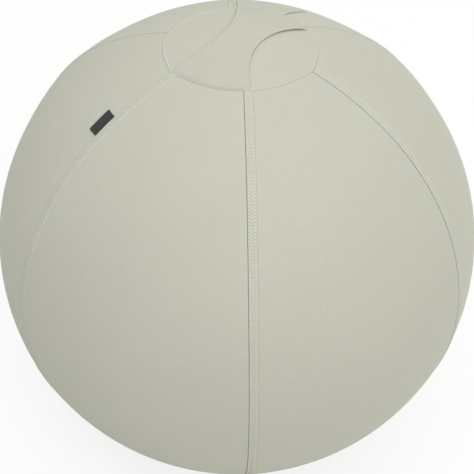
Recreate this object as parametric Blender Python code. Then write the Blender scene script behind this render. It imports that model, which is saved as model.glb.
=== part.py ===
"""Sitting ball: an inflated bladder inside a sewn six-gore cover with a carry strap on its crown,
a sand pad in its base and a zip round the back of the base.

Metres, +Z up, floor at z = 0, ball axis on Z. The front seam faces -Y. Azimuth 0 is the front
and grows towards +X. A depth is measured from the cover's outside towards the ball's centre.
"""

import math

import bmesh
import bpy
from mathutils import Matrix, Vector

# Overall form of the cover's outside
EQUATOR_RADIUS = 0.325  # ball axis to the middle of a gore
POLE_RADIUS = 0.324  # ball centre to the top of the crown
SEAM_RIDGE = 0.0030  # how far a gore seam stands out past the middle of a gore
RIDGE_SHARPNESS = 8
RIDGE_FADE = 0.45  # turn over which a ridge runs out at the crown and at the base
FOOT_RADIUS = 0.095  # flat circle that stands on the floor

# Sewn cover
CLOTH = 0.0018  # thickness of a cover panel
FIT = 0.0003  # room between pieces that touch
SEAM_GAP = 0.0005  # ditch between two panels that are sewn together
BAND_WIDTH = 0.0112  # stitched band on one side of each gore seam
BAND_RISE = 0.0008
BAND_EDGE = 0.0015  # over which the band rises from its sides
CROWN_RADIUS = 0.097  # ball axis to the crown seam
RIM_WIDTH = 0.0035  # raised roll at the edge of the crown panel
RIM_RISE = 0.0007
RIM_CREST = 0.0014  # crown seam to the top of that roll
BASE_RADIUS = 0.186  # ball axis to the base seam
TAPE = 0.0010  # strip inside a gore seam
TAPE_BACK = 0.008  # how far that strip reaches past the ditch on its plain side

# Carry strap
STRAP = 0.0011
LINING = 0.0007
STRAP_WAIST = 0.050  # width at the middle of the crown
STRAP_AXIS = math.radians(-30)  # azimuth of its front end
STRAP_EDGE_LIFT = 0.0013  # how far its long edges stand off the crown
STRAP_MIDDLE_LIFT = 0.0006
STRAP_FLARE = 2.0  # how late its sides widen towards the ends
STRAP_END_RIGHT = math.radians(35.5)  # its axis to the corners on its right, seen from the ball's axis
STRAP_END_LEFT = math.radians(31)

# Label tab
LABEL_LENGTH = 0.0323  # along the seam
LABEL_WIDTH = 0.0155
LABEL = 0.0010
LABEL_DISTANCE = 0.188  # crown's top to the near end of the tab, along the cover

# Weighted pad
PAD_RADIUS = 0.119
FILL_RADIUS = 0.112
POUCH = 0.0008
PAD_HEIGHT = 0.0112  # floor to the top of the fill

# Bladder and valve
WALL = 0.0010
PAD_OVERHANG = 0.002  # how far the bladder's flat reaches past the pad
DENT_MARGIN = 0.0055  # how far the dent behind the zip reaches past the guard
DENT_RUN = 0.011  # over which that dent runs out
VALVE_AZIMUTH = math.radians(210)
VALVE_ROW = 12
SEAT_RADIUS = 0.0090
SEAT_LENGTH = 0.013
SEAT_SINK = 0.0004  # bladder's outside to the seat's top
SEAT_NECK = 0.00675  # radius of the seat under its flange
SEAT_TIP = 0.0063
FLANGE_RADIUS = 0.0130
FLANGE = 0.0012
FLANGE_DEPTH = 0.0040  # bladder's outside to the flange
PLUG_HEAD_RADIUS = 0.0066
PLUG_HEAD = 0.0012
PLUG_EDGE = 0.0005  # chamfer of the plug's head
STEM_RADIUS = 0.0038
STEM_LENGTH = 0.015
STEM_TIP = 0.0027
STEM_TAPER = 0.003

# Zip
ZIP_HALF_SPAN = math.radians(50)  # of the row of teeth, about straight back
ZIP_HEM = 0.0086  # middle of the zip to the edge of a panel
HEM_RAMP = math.radians(2)  # over which a panel's edge runs out to the hem
ZIP_TAPE = 0.0008
ZIP_TAPE_DEPTH = 0.0004
ZIP_TAPE_WIDTH = 0.0039
TOOTH_PITCH = 0.0050
TOOTH_LENGTH = 0.0016
TOOTH_ROOT = 0.0008
CHAIN = 0.0024  # thickness of the teeth
CHAIN_SLOT = 0.0020  # between the two rows
STOP_LENGTH = 0.004
TAPE_END = 0.004  # how far the zip tapes run on past the stops
GUARD = 0.0007
GUARD_REACH = 0.011
SLIDER_LENGTH = 0.015
SLIDER_PLATE = 0.0014
SLIDER_PLAY = 0.0004  # between its flanges and the teeth
SLIDER_POST = 0.0014
FLANGE_WIDTH = 0.0012
CROWN_SLOT = 0.0028  # clear height under the slider's crown
CROWN_BAR = 0.0014
PULL_LENGTH = 0.027
PULL_WIDTH = 0.0068
PULL_TAPER = 0.004
PULL_TIP = 0.0049  # width of its far end
PULL = 0.0014
PULL_BAR = 0.0016
PULL_ARM = 0.0021
PULL_EYE = 0.0064  # pivot to the far end of the opening

# Mesh density
GORE_ROWS = 14
GORE_MIDDLE = 6
BASE_TURNS = 48
BLADDER_TURNS = 24
PAD_TURNS = 24
CROWN_TURNS = 24
VALVE_TURNS = 16
ZIP_ROWS = 30

GORE_NAMES = ("front_right", "right", "rear_right", "rear_left", "left", "front_left")
SEAM_NAMES = ("front", "front_right", "rear_right", "rear", "rear_left", "front_left")
SECTOR = math.tau / len(GORE_NAMES)
ZIP_AZIMUTH = math.pi

CENTRE_HEIGHT = POLE_RADIUS * math.sqrt(1 - (FOOT_RADIUS / EQUATOR_RADIUS) ** 2)
CENTRE = Vector((0, 0, CENTRE_HEIGHT))
TAPE_DEPTH = CLOTH + FIT
BLADDER_DEPTH = TAPE_DEPTH + TAPE + FIT
BLADDER_FLOOR = PAD_HEIGHT + POUCH + 2 * FIT


def tilt(plan_radius, side):
    """Angle from straight up of the cover this far from its axis, in the upper (1) or lower (-1) half."""
    height = side * POLE_RADIUS * math.sqrt(1 - (plan_radius / EQUATOR_RADIUS) ** 2)
    return math.atan2(plan_radius, height)


CROWN_TILT = tilt(CROWN_RADIUS, 1)
BASE_TILT = tilt(BASE_RADIUS, -1)


def smooth(value):
    value = min(max(value, 0), 1)
    return value * value * (3 - 2 * value)


def direction(theta, phi):
    return Vector((math.sin(theta) * math.sin(phi), -math.sin(theta) * math.cos(phi), math.cos(theta)))


def round_radius(theta):
    """Distance from the ball's centre to the plain spheroid."""
    return 1 / math.hypot(math.sin(theta) / EQUATOR_RADIUS, math.cos(theta) / POLE_RADIUS)


def ridge(theta, phi):
    fade = smooth((theta - CROWN_TILT) / RIDGE_FADE) * smooth((BASE_TILT - theta) / RIDGE_FADE)
    return SEAM_RIDGE * fade * math.cos(phi * len(GORE_NAMES) / 2) ** RIDGE_SHARPNESS


def skin(theta, phi, depth, floor=None):
    """The point at this depth under the cover's outside. Under the ball it flattens at the height floor."""
    radius = round_radius(theta) + ridge(theta, phi) - depth
    floor = depth if floor is None else floor
    if math.cos(theta) < 0:
        radius = min(radius, (CENTRE_HEIGHT - floor) / -math.cos(theta))
    return CENTRE + direction(theta, phi) * radius


def turn_of(arc, theta):
    """Azimuth that an arc along a parallel spans."""
    return arc / (round_radius(theta) * math.sin(theta))


def hem(phi):
    """Distance from the base seam's line to a panel's edge: half a ditch, or the zip's hem at the back."""
    off = abs((phi - ZIP_AZIMUTH + math.pi) % math.tau - math.pi)
    opened = smooth((SECTOR - off) / HEM_RAMP)
    return SEAM_GAP / 2 + (ZIP_HEM - SEAM_GAP / 2) * opened


def row_tilt(row):
    return CROWN_TILT + (BASE_TILT - CROWN_TILT) * row / GORE_ROWS


# Blanks: plain meshes that are shaped after they are made
def slab(rows, columns):
    """A flat slab, one unit thick, whose vertices stand at whole-number rows and columns."""
    blank = bmesh.new()
    bmesh.ops.create_grid(blank, x_segments=rows, y_segments=columns, size=0.5)
    for vert in blank.verts:
        vert.co = (round((vert.co.x + 0.5) * rows), round((vert.co.y + 0.5) * columns), 0)
    made = bmesh.ops.extrude_face_region(blank, geom=blank.faces[:])
    moved = [item for item in made["geom"] if isinstance(item, bmesh.types.BMVert)]
    bmesh.ops.translate(blank, verts=moved, vec=(0, 0, 1))
    return blank


def disc(rings, turns):
    """A flat disc, one unit thick, whose rings stand at whole-number radii."""
    blank = bmesh.new()
    spoke = [blank.verts.new((ring, 0, 0)) for ring in range(rings + 1)]
    edges = [blank.edges.new(pair) for pair in zip(spoke, spoke[1:])]
    bmesh.ops.spin(
        blank, geom=spoke + edges, cent=(0, 0, 0), axis=(0, 0, 1), angle=math.tau, steps=turns, use_merge=True
    )
    bmesh.ops.remove_doubles(blank, verts=blank.verts[:], dist=1e-4)
    made = bmesh.ops.extrude_face_region(blank, geom=blank.faces[:])
    moved = [item for item in made["geom"] if isinstance(item, bmesh.types.BMVert)]
    bmesh.ops.translate(blank, verts=moved, vec=(0, 0, 1))
    return blank


def turned(profile, turns, closed):
    """A profile of (radius, height) points spun round Z."""
    blank = bmesh.new()
    points = [blank.verts.new((radius, 0, height)) for radius, height in profile]
    pairs = list(zip(points, points[1:]))
    if closed:
        pairs.append((points[-1], points[0]))
    edges = [blank.edges.new(pair) for pair in pairs]
    bmesh.ops.spin(
        blank, geom=points + edges, cent=(0, 0, 0), axis=(0, 0, 1), angle=math.tau, steps=turns, use_merge=True
    )
    bmesh.ops.remove_doubles(blank, verts=blank.verts[:], dist=1e-6)
    return blank


def bend(blank, place):
    """Moves every vertex of a blank to place(row, column, layer)."""
    for vert in blank.verts:
        vert.co = place(*(round(value) for value in vert.co))
    return blank


def bend_disc(blank, place):
    """Moves every vertex of a disc to place(ring, azimuth, layer)."""
    for vert in blank.verts:
        ring = round(math.hypot(vert.co.x, vert.co.y))
        vert.co = place(ring, math.atan2(vert.co.y, vert.co.x), round(vert.co.z))
    return blank


def finish(name, blank, paint):
    bmesh.ops.recalc_face_normals(blank, faces=blank.faces[:])
    if blank.calc_volume(signed=True) < 0:
        bmesh.ops.reverse_faces(blank, faces=blank.faces[:])
    mesh = bpy.data.meshes.new(name)
    blank.to_mesh(mesh)
    blank.free()
    mesh.shade_smooth()
    mesh.set_sharp_from_angle(angle=math.radians(30))
    mesh.materials.append(paint)
    made = bpy.data.objects.new(name, mesh)
    bpy.context.scene.collection.objects.link(made)
    return made


def paint(name, colour, roughness, metallic=0.0):
    made = bpy.data.materials.new(name)
    made.use_nodes = True
    shader = made.node_tree.nodes["Principled BSDF"]
    shader.inputs["Base Color"].default_value = (*colour, 1)
    shader.inputs["Roughness"].default_value = roughness
    shader.inputs["Metallic"].default_value = metallic
    return made


# Cover
def gore(index, cloth):
    start = index * SECTOR
    columns = 4 + GORE_MIDDLE
    ends = (SEAM_GAP / 2, BAND_EDGE, BAND_WIDTH - BAND_EDGE, BAND_WIDTH)
    rise = {1: BAND_RISE, 2: BAND_RISE}

    def azimuth(column, theta):
        band_end = turn_of(BAND_WIDTH, theta)
        far_strip = SECTOR - turn_of(TAPE_BACK, theta)
        if column < len(ends):
            return start + turn_of(ends[column], theta)
        if column == columns:
            return start + SECTOR - turn_of(SEAM_GAP / 2, theta)
        return start + band_end + (far_strip - band_end) * (column - 3) / GORE_MIDDLE

    def place(row, column, layer):
        theta = row_tilt(row)
        if row == 0:
            theta += SEAM_GAP / POLE_RADIUS
        if row == GORE_ROWS:
            theta -= hem(azimuth(column, theta)) / EQUATOR_RADIUS
        depth = CLOTH if layer else -rise.get(column, 0)
        return skin(theta, azimuth(column, theta), depth)

    finish("gore_" + GORE_NAMES[index], bend(slab(GORE_ROWS, columns), place), cloth)


def seam_tape(index, cloth):
    sides = (-TAPE_BACK, 0, BAND_WIDTH)
    seam = index * SECTOR

    def place(row, column, layer):
        theta = row_tilt(row)
        if row == 0:
            theta += 2 * SEAM_GAP / POLE_RADIUS
        if row == GORE_ROWS:
            theta -= (hem(seam) + SEAM_GAP) / EQUATOR_RADIUS
        return skin(theta, seam + turn_of(sides[column], theta), TAPE_DEPTH + TAPE * layer)

    finish("seam_tape_" + SEAM_NAMES[index], bend(slab(GORE_ROWS, 2), place), cloth)


def crown_panel(cloth):
    flat = CROWN_TILT - 2 * RIM_WIDTH / POLE_RADIUS
    tilts = (0, flat / 3, flat * 2 / 3, flat, CROWN_TILT - RIM_WIDTH / POLE_RADIUS)
    tilts += (CROWN_TILT - RIM_CREST / POLE_RADIUS, CROWN_TILT - SEAM_GAP / POLE_RADIUS)

    def place(ring, azimuth, layer):
        depth = CLOTH if layer else -RIM_RISE * (ring == 5)
        return skin(tilts[ring], azimuth, depth)

    finish("crown_panel", bend_disc(disc(6, CROWN_TURNS), place), cloth)


def strap_layer(name, below, thickness, cloth):
    rows, columns = 10, 6
    reach = CROWN_RADIUS - RIM_WIDTH - FIT

    def place(row, column, layer):
        side = column * 2 / columns - 1
        end = STRAP_END_RIGHT if side > 0 else STRAP_END_LEFT
        end_half, corner = reach * math.sin(end), reach * math.cos(end)
        along = (row * 2 / rows - 1) * math.sqrt(reach**2 - (side * end_half) ** 2)
        widen = min(abs(along) / corner, 1) ** STRAP_FLARE
        across = side * (STRAP_WAIST / 2 + (end_half - STRAP_WAIST / 2) * widen)
        slack = 1 - (abs(along) / reach) ** 4
        lift = (STRAP_MIDDLE_LIFT + STRAP_EDGE_LIFT * side**2) * max(slack, 0)
        height = below + lift + thickness * layer
        return skin(
            tilt(math.hypot(along, across), 1), STRAP_AXIS + math.atan2(across, along), -height
        )

    finish(name, bend(slab(rows, columns), place), cloth)


def label_tab(cloth):
    near = LABEL_DISTANCE / EQUATOR_RADIUS
    seam = -SECTOR

    def place(row, column, layer):
        theta = near + row * LABEL_LENGTH / 3 / EQUATOR_RADIUS
        arc = -SEAM_GAP - column * LABEL_WIDTH / 3
        return skin(theta, seam + turn_of(arc, theta), -FIT - LABEL * layer)

    finish("label_tab", bend(slab(3, 3), place), cloth)


# Base and weighted pad
POUCH_DEPTH = CLOTH + FIT
FILL_DEPTH = POUCH_DEPTH + POUCH + FIT
PAD_RINGS = (0, FOOT_RADIUS / 2, FOOT_RADIUS, (FOOT_RADIUS + FILL_RADIUS) / 2, FILL_RADIUS, PAD_RADIUS)


def base_panel(cloth):
    step = (BASE_RADIUS - PAD_RADIUS) / 3
    radii = PAD_RINGS + (PAD_RADIUS + step, PAD_RADIUS + 2 * step, BASE_RADIUS)
    last = len(radii) - 1

    def place(ring, azimuth, layer):
        theta = tilt(radii[ring], -1)
        if ring == last:
            theta += hem(azimuth) / EQUATOR_RADIUS
        return skin(theta, azimuth, CLOTH * layer)

    finish("base_panel", bend_disc(disc(last, BASE_TURNS), place), cloth)


def level(radius, azimuth, height):
    return Vector((radius * math.sin(azimuth), -radius * math.cos(azimuth), height))


def pouch_rim():
    """Radius at which the lower pouch, less its fit, has risen to the upper one."""
    fall = (CENTRE_HEIGHT - PAD_HEIGHT - FIT) / (POLE_RADIUS - FILL_DEPTH)
    return min((EQUATOR_RADIUS - FILL_DEPTH) * math.sqrt(1 - fall**2), PAD_RADIUS)


def pad(pouch_cloth, sand):
    def place_lower(ring, azimuth, layer):
        return skin(tilt(PAD_RINGS[ring], -1), azimuth, POUCH_DEPTH + POUCH * layer)

    def place_fill(ring, azimuth, layer):
        under = skin(tilt(PAD_RINGS[ring], -1), azimuth, FILL_DEPTH)
        if layer:
            return level(math.hypot(under.x, under.y), azimuth, PAD_HEIGHT)
        return under

    def place_upper(ring, azimuth, layer):
        return level(pouch_rim() * ring, azimuth, PAD_HEIGHT + FIT + POUCH * layer)

    finish("pad_pouch_lower", bend_disc(disc(5, PAD_TURNS), place_lower), pouch_cloth)
    finish("pad_fill", bend_disc(disc(4, PAD_TURNS), place_fill), sand)
    finish("pad_pouch_upper", bend_disc(disc(1, PAD_TURNS), place_upper), pouch_cloth)


# Bladder and valve
def bladder_dent():
    """How much deeper the bladder lies behind the zip, to clear the slider and the guard."""
    chain_bottom = ZIP_TAPE_DEPTH + (ZIP_TAPE + CHAIN) / 2
    return max(chain_bottom + SLIDER_PLATE + GUARD + 3 * FIT - BLADDER_DEPTH, 0)


def bladder_point(theta, azimuth):
    past_dent = GUARD_REACH + DENT_MARGIN + DENT_RUN - abs(theta - BASE_TILT) * EQUATOR_RADIUS
    behind_zip = smooth(past_dent / DENT_RUN)
    return skin(theta, azimuth, BLADDER_DEPTH + bladder_dent() * behind_zip, BLADDER_FLOOR)


def bladder(pvc, cutter_paint):
    corner = math.atan2(PAD_RADIUS + PAD_OVERHANG, BLADDER_FLOOR - CENTRE_HEIGHT)
    tilts = [0, CROWN_TILT / 2] + [row_tilt(row) for row in range(GORE_ROWS + 1)]
    dent = (GUARD_REACH + DENT_MARGIN) / EQUATOR_RADIUS
    tilts.insert(-1, BASE_TILT - dent)
    tilts.append(BASE_TILT + dent)
    tilts += [BASE_TILT + (corner - BASE_TILT) * part / 2 for part in (1, 2)]
    tilts += [(corner + math.pi) / 2, math.pi]
    profile = [(math.sin(theta), math.cos(theta)) for theta in tilts]
    blank = turned(profile, BLADDER_TURNS, False)
    for vert in blank.verts:
        azimuth = math.atan2(vert.co.x, -vert.co.y)
        theta = math.atan2(math.hypot(vert.co.x, vert.co.y), vert.co.z)
        vert.co = bladder_point(theta, azimuth)
    shell = finish("bladder", blank, pvc)
    wall = shell.modifiers.new("wall", "SOLIDIFY")
    wall.thickness = WALL
    wall.offset = -1
    bore = SEAT_RADIUS + FIT
    sides = [(0, -SEAT_LENGTH), (bore, -SEAT_LENGTH), (bore, SEAT_LENGTH), (0, SEAT_LENGTH)]
    hole = turned(sides, VALVE_TURNS, False)
    bmesh.ops.transform(hole, matrix=valve_frame(), verts=hole.verts[:])
    cutter = finish("valve_hole_cutter", hole, cutter_paint)
    cutter.hide_render = True
    cutter.display_type = "WIRE"
    cut = shell.modifiers.new("valve_hole", "BOOLEAN")
    cut.object = cutter
    cut.operation = "DIFFERENCE"
    cut.solver = "EXACT"


def valve_frame():
    """Origin on the bladder's outside at the valve, Z straight out of the ball."""
    theta = row_tilt(VALVE_ROW)
    out = direction(theta, VALVE_AZIMUTH)
    turn = out.to_track_quat("Z", "Y").to_matrix().to_4x4()
    return Matrix.Translation(bladder_point(theta, VALVE_AZIMUTH)) @ turn


def valve(seat_paint, plug_paint):
    bore = STEM_RADIUS + FIT
    pocket = PLUG_HEAD_RADIUS + FIT
    top = -SEAT_SINK
    shoulder = top - PLUG_HEAD - FIT
    flange_top = -FLANGE_DEPTH
    seat = turned(
        [
            (pocket, top),
            (SEAT_RADIUS, top),
            (SEAT_RADIUS, flange_top),
            (FLANGE_RADIUS, flange_top),
            (FLANGE_RADIUS, flange_top - FLANGE),
            (SEAT_NECK, flange_top - FLANGE),
            (SEAT_TIP, top - SEAT_LENGTH),
            (bore, top - SEAT_LENGTH),
            (bore, shoulder),
            (pocket, shoulder),
        ],
        VALVE_TURNS,
        True,
    )
    bmesh.ops.transform(seat, matrix=valve_frame(), verts=seat.verts[:])
    finish("valve_seat", seat, seat_paint)
    tip = top - STEM_LENGTH
    plug = turned(
        [
            (0, top),
            (PLUG_HEAD_RADIUS - PLUG_EDGE, top),
            (PLUG_HEAD_RADIUS, top - PLUG_EDGE),
            (PLUG_HEAD_RADIUS, top - PLUG_HEAD),
            (STEM_RADIUS, top - PLUG_HEAD),
            (STEM_RADIUS, tip + STEM_TAPER),
            (STEM_TIP, tip),
            (0, tip),
        ],
        VALVE_TURNS,
        False,
    )
    bmesh.ops.transform(plug, matrix=valve_frame(), verts=plug.verts[:])
    finish("valve_plug", plug, plug_paint)


# Zip
def zip_point(azimuth, across, depth):
    """A point by the zip: azimuth from straight back, distance up the cover from its middle, depth."""
    return skin(BASE_TILT - across / EQUATOR_RADIUS, ZIP_AZIMUTH + azimuth, depth)


CHAIN_DEPTH = ZIP_TAPE_DEPTH + ZIP_TAPE / 2 - CHAIN / 2
CHAIN_HALF = CHAIN_SLOT / 2 + TOOTH_LENGTH + TOOTH_ROOT
ZIP_END = ZIP_HALF_SPAN + (STOP_LENGTH + TAPE_END) / BASE_RADIUS


def zip_teeth(name, side, plastic):
    count = round(2 * ZIP_HALF_SPAN * BASE_RADIUS / TOOTH_PITCH)
    cells = 2 * count - 1
    blank = slab(cells, 1)
    fronts = []
    for face in blank.faces:
        centre = face.calc_center_median()
        if abs(face.normal.y) > 0.5 and centre.y < 0.5 and int(centre.x) % 2 == 0:
            fronts.append(face)
    made = bmesh.ops.extrude_discrete_faces(blank, faces=fronts)
    tips = {vert for face in made["faces"] for vert in face.verts}
    bmesh.ops.translate(blank, verts=list(tips), vec=(0, -1, 0))
    lines = {-1: CHAIN_SLOT / 2, 0: CHAIN_SLOT / 2 + TOOTH_LENGTH, 1: CHAIN_HALF}

    def place(row, column, layer):
        azimuth = ZIP_HALF_SPAN * (2 * row / cells - 1)
        return zip_point(azimuth, side * lines[column], CHAIN_DEPTH + CHAIN * layer)

    finish(name, bend(blank, place), plastic)


def zip_tape(name, side, cloth):
    inner = CHAIN_HALF + FIT

    def place(row, column, layer):
        across = inner + ZIP_TAPE_WIDTH * column
        return zip_point(ZIP_END * (2 * row / ZIP_ROWS - 1), side * across, ZIP_TAPE_DEPTH + ZIP_TAPE * layer)

    finish(name, bend(slab(ZIP_ROWS, 1), place), cloth)


def zip_guard(cloth):
    top = CHAIN_DEPTH + CHAIN + SLIDER_PLATE + 2 * FIT

    def place(row, column, layer):
        across = GUARD_REACH * (column - 1)
        return zip_point(ZIP_END * (2 * row / ZIP_ROWS - 1), across, top + GUARD * layer)

    finish("zip_guard", bend(slab(ZIP_ROWS, 2), place), cloth)


def zip_stop(name, side, plastic):
    def place(row, column, layer):
        azimuth = side * (ZIP_HALF_SPAN + (FIT + STOP_LENGTH * row) / BASE_RADIUS)
        return zip_point(azimuth, CHAIN_HALF * (column - 1), CHAIN_DEPTH + CHAIN * layer)

    finish(name, bend(slab(1, 2), place), plastic)


def slider_frame():
    """Origin on the cover's outside at the slider's middle: X along the zip, Y up the cover, Z out."""
    azimuth = ZIP_AZIMUTH - ZIP_HALF_SPAN + (SLIDER_LENGTH / 2 + 2 * FIT) / BASE_RADIUS
    out = direction(BASE_TILT, azimuth)
    along = Vector((math.cos(azimuth), math.sin(azimuth), 0))
    up = out.cross(along)
    turn = Matrix((along, up, out)).transposed().to_4x4()
    return Matrix.Translation(skin(BASE_TILT, azimuth, 0)) @ turn


def cell(blank, rows, columns, normal):
    """Faces of a plate that lie in these ranges and look this way along Z."""
    found = []
    for face in blank.faces:
        centre = face.calc_center_median()
        inside = rows[0] < centre.x < rows[1] and columns[0] < centre.y < columns[1]
        if inside and face.normal.z * normal > 0.5:
            found.append(face)
    return found


def plate(xs, ys, low, high):
    blank = slab(len(xs) - 1, len(ys) - 1)
    bend(blank, lambda row, column, layer: Vector((xs[row], ys[column], high if layer else low)))
    bmesh.ops.recalc_face_normals(blank, faces=blank.faces[:])
    return blank


def push(blank, faces, vector, sheet=False):
    """Extrudes faces by a vector. A sheet keeps the faces it started from, as its other side."""
    made = bmesh.ops.extrude_face_region(blank, geom=faces)
    moved = [item for item in made["geom"] if isinstance(item, bmesh.types.BMVert)]
    bmesh.ops.translate(blank, verts=moved, vec=vector)
    if not sheet:
        bmesh.ops.delete(blank, geom=[face for face in faces if face.is_valid], context="FACES_ONLY")
    return [item for item in made["geom"] if isinstance(item, bmesh.types.BMFace)]


def slider(metal):
    """Runs round the ball's axis, where its origin is."""
    half, post = SLIDER_LENGTH / 2, SLIDER_POST / 2
    wing = CHAIN_HALF + 2 * FIT + SLIDER_PLAY
    edge = wing + FLANGE_WIDTH
    foot = CROWN_BAR
    xs = (-half, -half + foot, -half + 2 * foot, -half + 3 * foot, half - 3 * foot, half - 2 * foot, half)
    ys = (-edge, -wing, -post, post, wing, edge)
    front_low = -CHAIN_DEPTH + FIT
    front_high = front_low + SLIDER_PLATE
    back_high = -(CHAIN_DEPTH + CHAIN) - FIT
    tape_top = -ZIP_TAPE_DEPTH + FIT
    tape_bottom = -(ZIP_TAPE_DEPTH + ZIP_TAPE) - FIT
    blank = plate(xs, ys, front_low, front_high)
    for side in (-1, 1):
        strip = sorted((side * wing, side * edge))
        push(blank, cell(blank, (-1, 1), strip, -1), (0, 0, tape_top - front_low))
    post_cell = ((xs[1], xs[2]), (-post, post))
    # Crown over the front plate: two feet, joined by a bar.
    walls = []
    for low, high, inward in ((xs[2], xs[3], 1), (xs[4], xs[5], -1)):
        top = push(blank, cell(blank, (low, high), (-post, post), 1), (0, 0, CROWN_SLOT))
        blank.normal_update()
        top = push(blank, top, (0, 0, CROWN_BAR))
        blank.normal_update()
        limit = front_high + CROWN_SLOT
        for face in blank.faces:
            centre = face.calc_center_median()
            if centre.z > limit and face.normal.x * inward > 0.5 and low - 1e-6 < centre.x < high + 1e-6:
                walls.append(face)
    join(blank, walls)
    # Back plate behind the teeth, on a post that runs between the two rows.
    back = plate(xs, ys, back_high - SLIDER_PLATE, back_high)
    for side in (-1, 1):
        strip = sorted((side * wing, side * edge))
        push(back, cell(back, (-1, 1), strip, 1), (0, 0, tape_bottom - back_high))
    spare = bpy.data.meshes.new("spare")
    back.to_mesh(spare)
    back.free()
    blank.from_mesh(spare)
    bpy.data.meshes.remove(spare)
    blank.normal_update()
    ends = []
    for face in cell(blank, *post_cell, -1) + cell(blank, *post_cell, 1):
        height = face.calc_center_median().z
        if min(abs(height - front_low), abs(height - back_high)) < 1e-6:
            ends.append(face)
    join(blank, ends)
    bmesh.ops.transform(blank, matrix=slider_frame(), verts=blank.verts[:])
    return finish("zip_slider", blank, metal)


def join(blank, faces):
    """Opens two facing faces and bridges their edges."""
    edges = list({edge for face in faces for edge in face.edges})
    bmesh.ops.delete(blank, geom=faces, context="FACES_ONLY")
    bmesh.ops.bridge_loops(blank, edges=edges)


def pull_pivot():
    """Height of the pull's pivot over the cover, in the slider's frame."""
    front_high = -CHAIN_DEPTH + FIT + SLIDER_PLATE
    return front_high + CROWN_SLOT / 2


def pull(metal, carrier):
    """Hangs straight out of the slider's crown. Its origin is on its pivot."""
    half, arm = PULL_WIDTH / 2, PULL_WIDTH / 2 - PULL_ARM
    lengths = (-PULL_BAR / 2, PULL_BAR / 2, PULL_EYE, PULL_LENGTH - PULL_TAPER, PULL_LENGTH)
    sides = (-half, -arm, arm, half)
    blank = bmesh.new()
    bmesh.ops.create_grid(blank, x_segments=4, y_segments=3, size=0.5)
    for vert in blank.verts:
        row, column = round((vert.co.x + 0.5) * 4), round((vert.co.y + 0.5) * 3)
        narrow = PULL_TIP / PULL_WIDTH if row == 4 else 1
        vert.co = (0, sides[column] * narrow, lengths[row])
    eye = []
    for face in blank.faces:
        centre = face.calc_center_median()
        if abs(centre.y) < arm / 2 and PULL_BAR / 2 < centre.z < PULL_EYE:
            eye.append(face)
    bmesh.ops.delete(blank, geom=eye, context="FACES")
    bmesh.ops.translate(blank, verts=blank.verts[:], vec=(-PULL / 2, 0, 0))
    push(blank, blank.faces[:], (PULL, 0, 0), sheet=True)
    made = finish("zip_pull", blank, metal)
    made.parent = carrier
    made.matrix_world = slider_frame() @ Matrix.Translation((0, 0, pull_pivot()))


def main():
    for old in list(bpy.data.objects):
        bpy.data.objects.remove(old)
    cover = paint("cover_cloth", (0.60, 0.60, 0.50), 0.9)
    tape_cloth = paint("seam_tape_cloth", (0.50, 0.50, 0.43), 0.9)
    label_cloth = paint("label_cloth", (0.035, 0.036, 0.038), 0.85)
    base_cloth = paint("base_cloth", (0.10, 0.10, 0.095), 0.9)
    pouch_cloth = paint("pouch_cloth", (0.28, 0.28, 0.27), 0.9)
    sand = paint("pad_sand", (0.45, 0.36, 0.24), 0.95)
    pvc = paint("bladder_pvc", (0.33, 0.34, 0.34), 0.45)
    plug_plastic = paint("plug_plastic", (0.75, 0.75, 0.73), 0.4)
    zip_cloth = paint("zip_cloth", (0.22, 0.22, 0.20), 0.9)
    zip_plastic = paint("zip_plastic", (0.16, 0.16, 0.15), 0.5)
    zip_metal = paint("zip_metal", (0.30, 0.30, 0.29), 0.4, 0.9)
    for index in range(len(GORE_NAMES)):
        gore(index, cover)
        seam_tape(index, tape_cloth)
    crown_panel(cover)
    strap_layer("handle_lining", FIT, LINING, cover)
    strap_layer("handle_strap", 2 * FIT + LINING, STRAP, cover)
    label_tab(label_cloth)
    base_panel(base_cloth)
    pad(pouch_cloth, sand)
    bladder(pvc, sand)
    valve(pvc, plug_plastic)
    zip_tape("zip_tape_upper", 1, zip_cloth)
    zip_tape("zip_tape_lower", -1, zip_cloth)
    zip_teeth("zip_teeth_upper", 1, zip_plastic)
    zip_teeth("zip_teeth_lower", -1, zip_plastic)
    zip_guard(zip_cloth)
    zip_stop("zip_stop_start", -1, zip_plastic)
    zip_stop("zip_stop_end", 1, zip_plastic)
    pull(zip_metal, slider(zip_metal))


main()
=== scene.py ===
"""Looks of the sitting ball: sewn cover, carry strap, label, base, zip and the pieces inside it.

Metres, +Z up, floor at z = 0, ball axis on Z. The front seam faces -Y. Azimuth 0 is the front and
grows towards +X. A tilt is the angle from straight up at the ball's centre. A depth is measured
from the cover's outside towards the ball's centre, so what stands proud has a negative depth.
"""

import math

import bmesh
import bpy
import numpy as np
from bpy.props import FloatProperty, FloatVectorProperty, PointerProperty
from mathutils import Matrix, Vector


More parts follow.
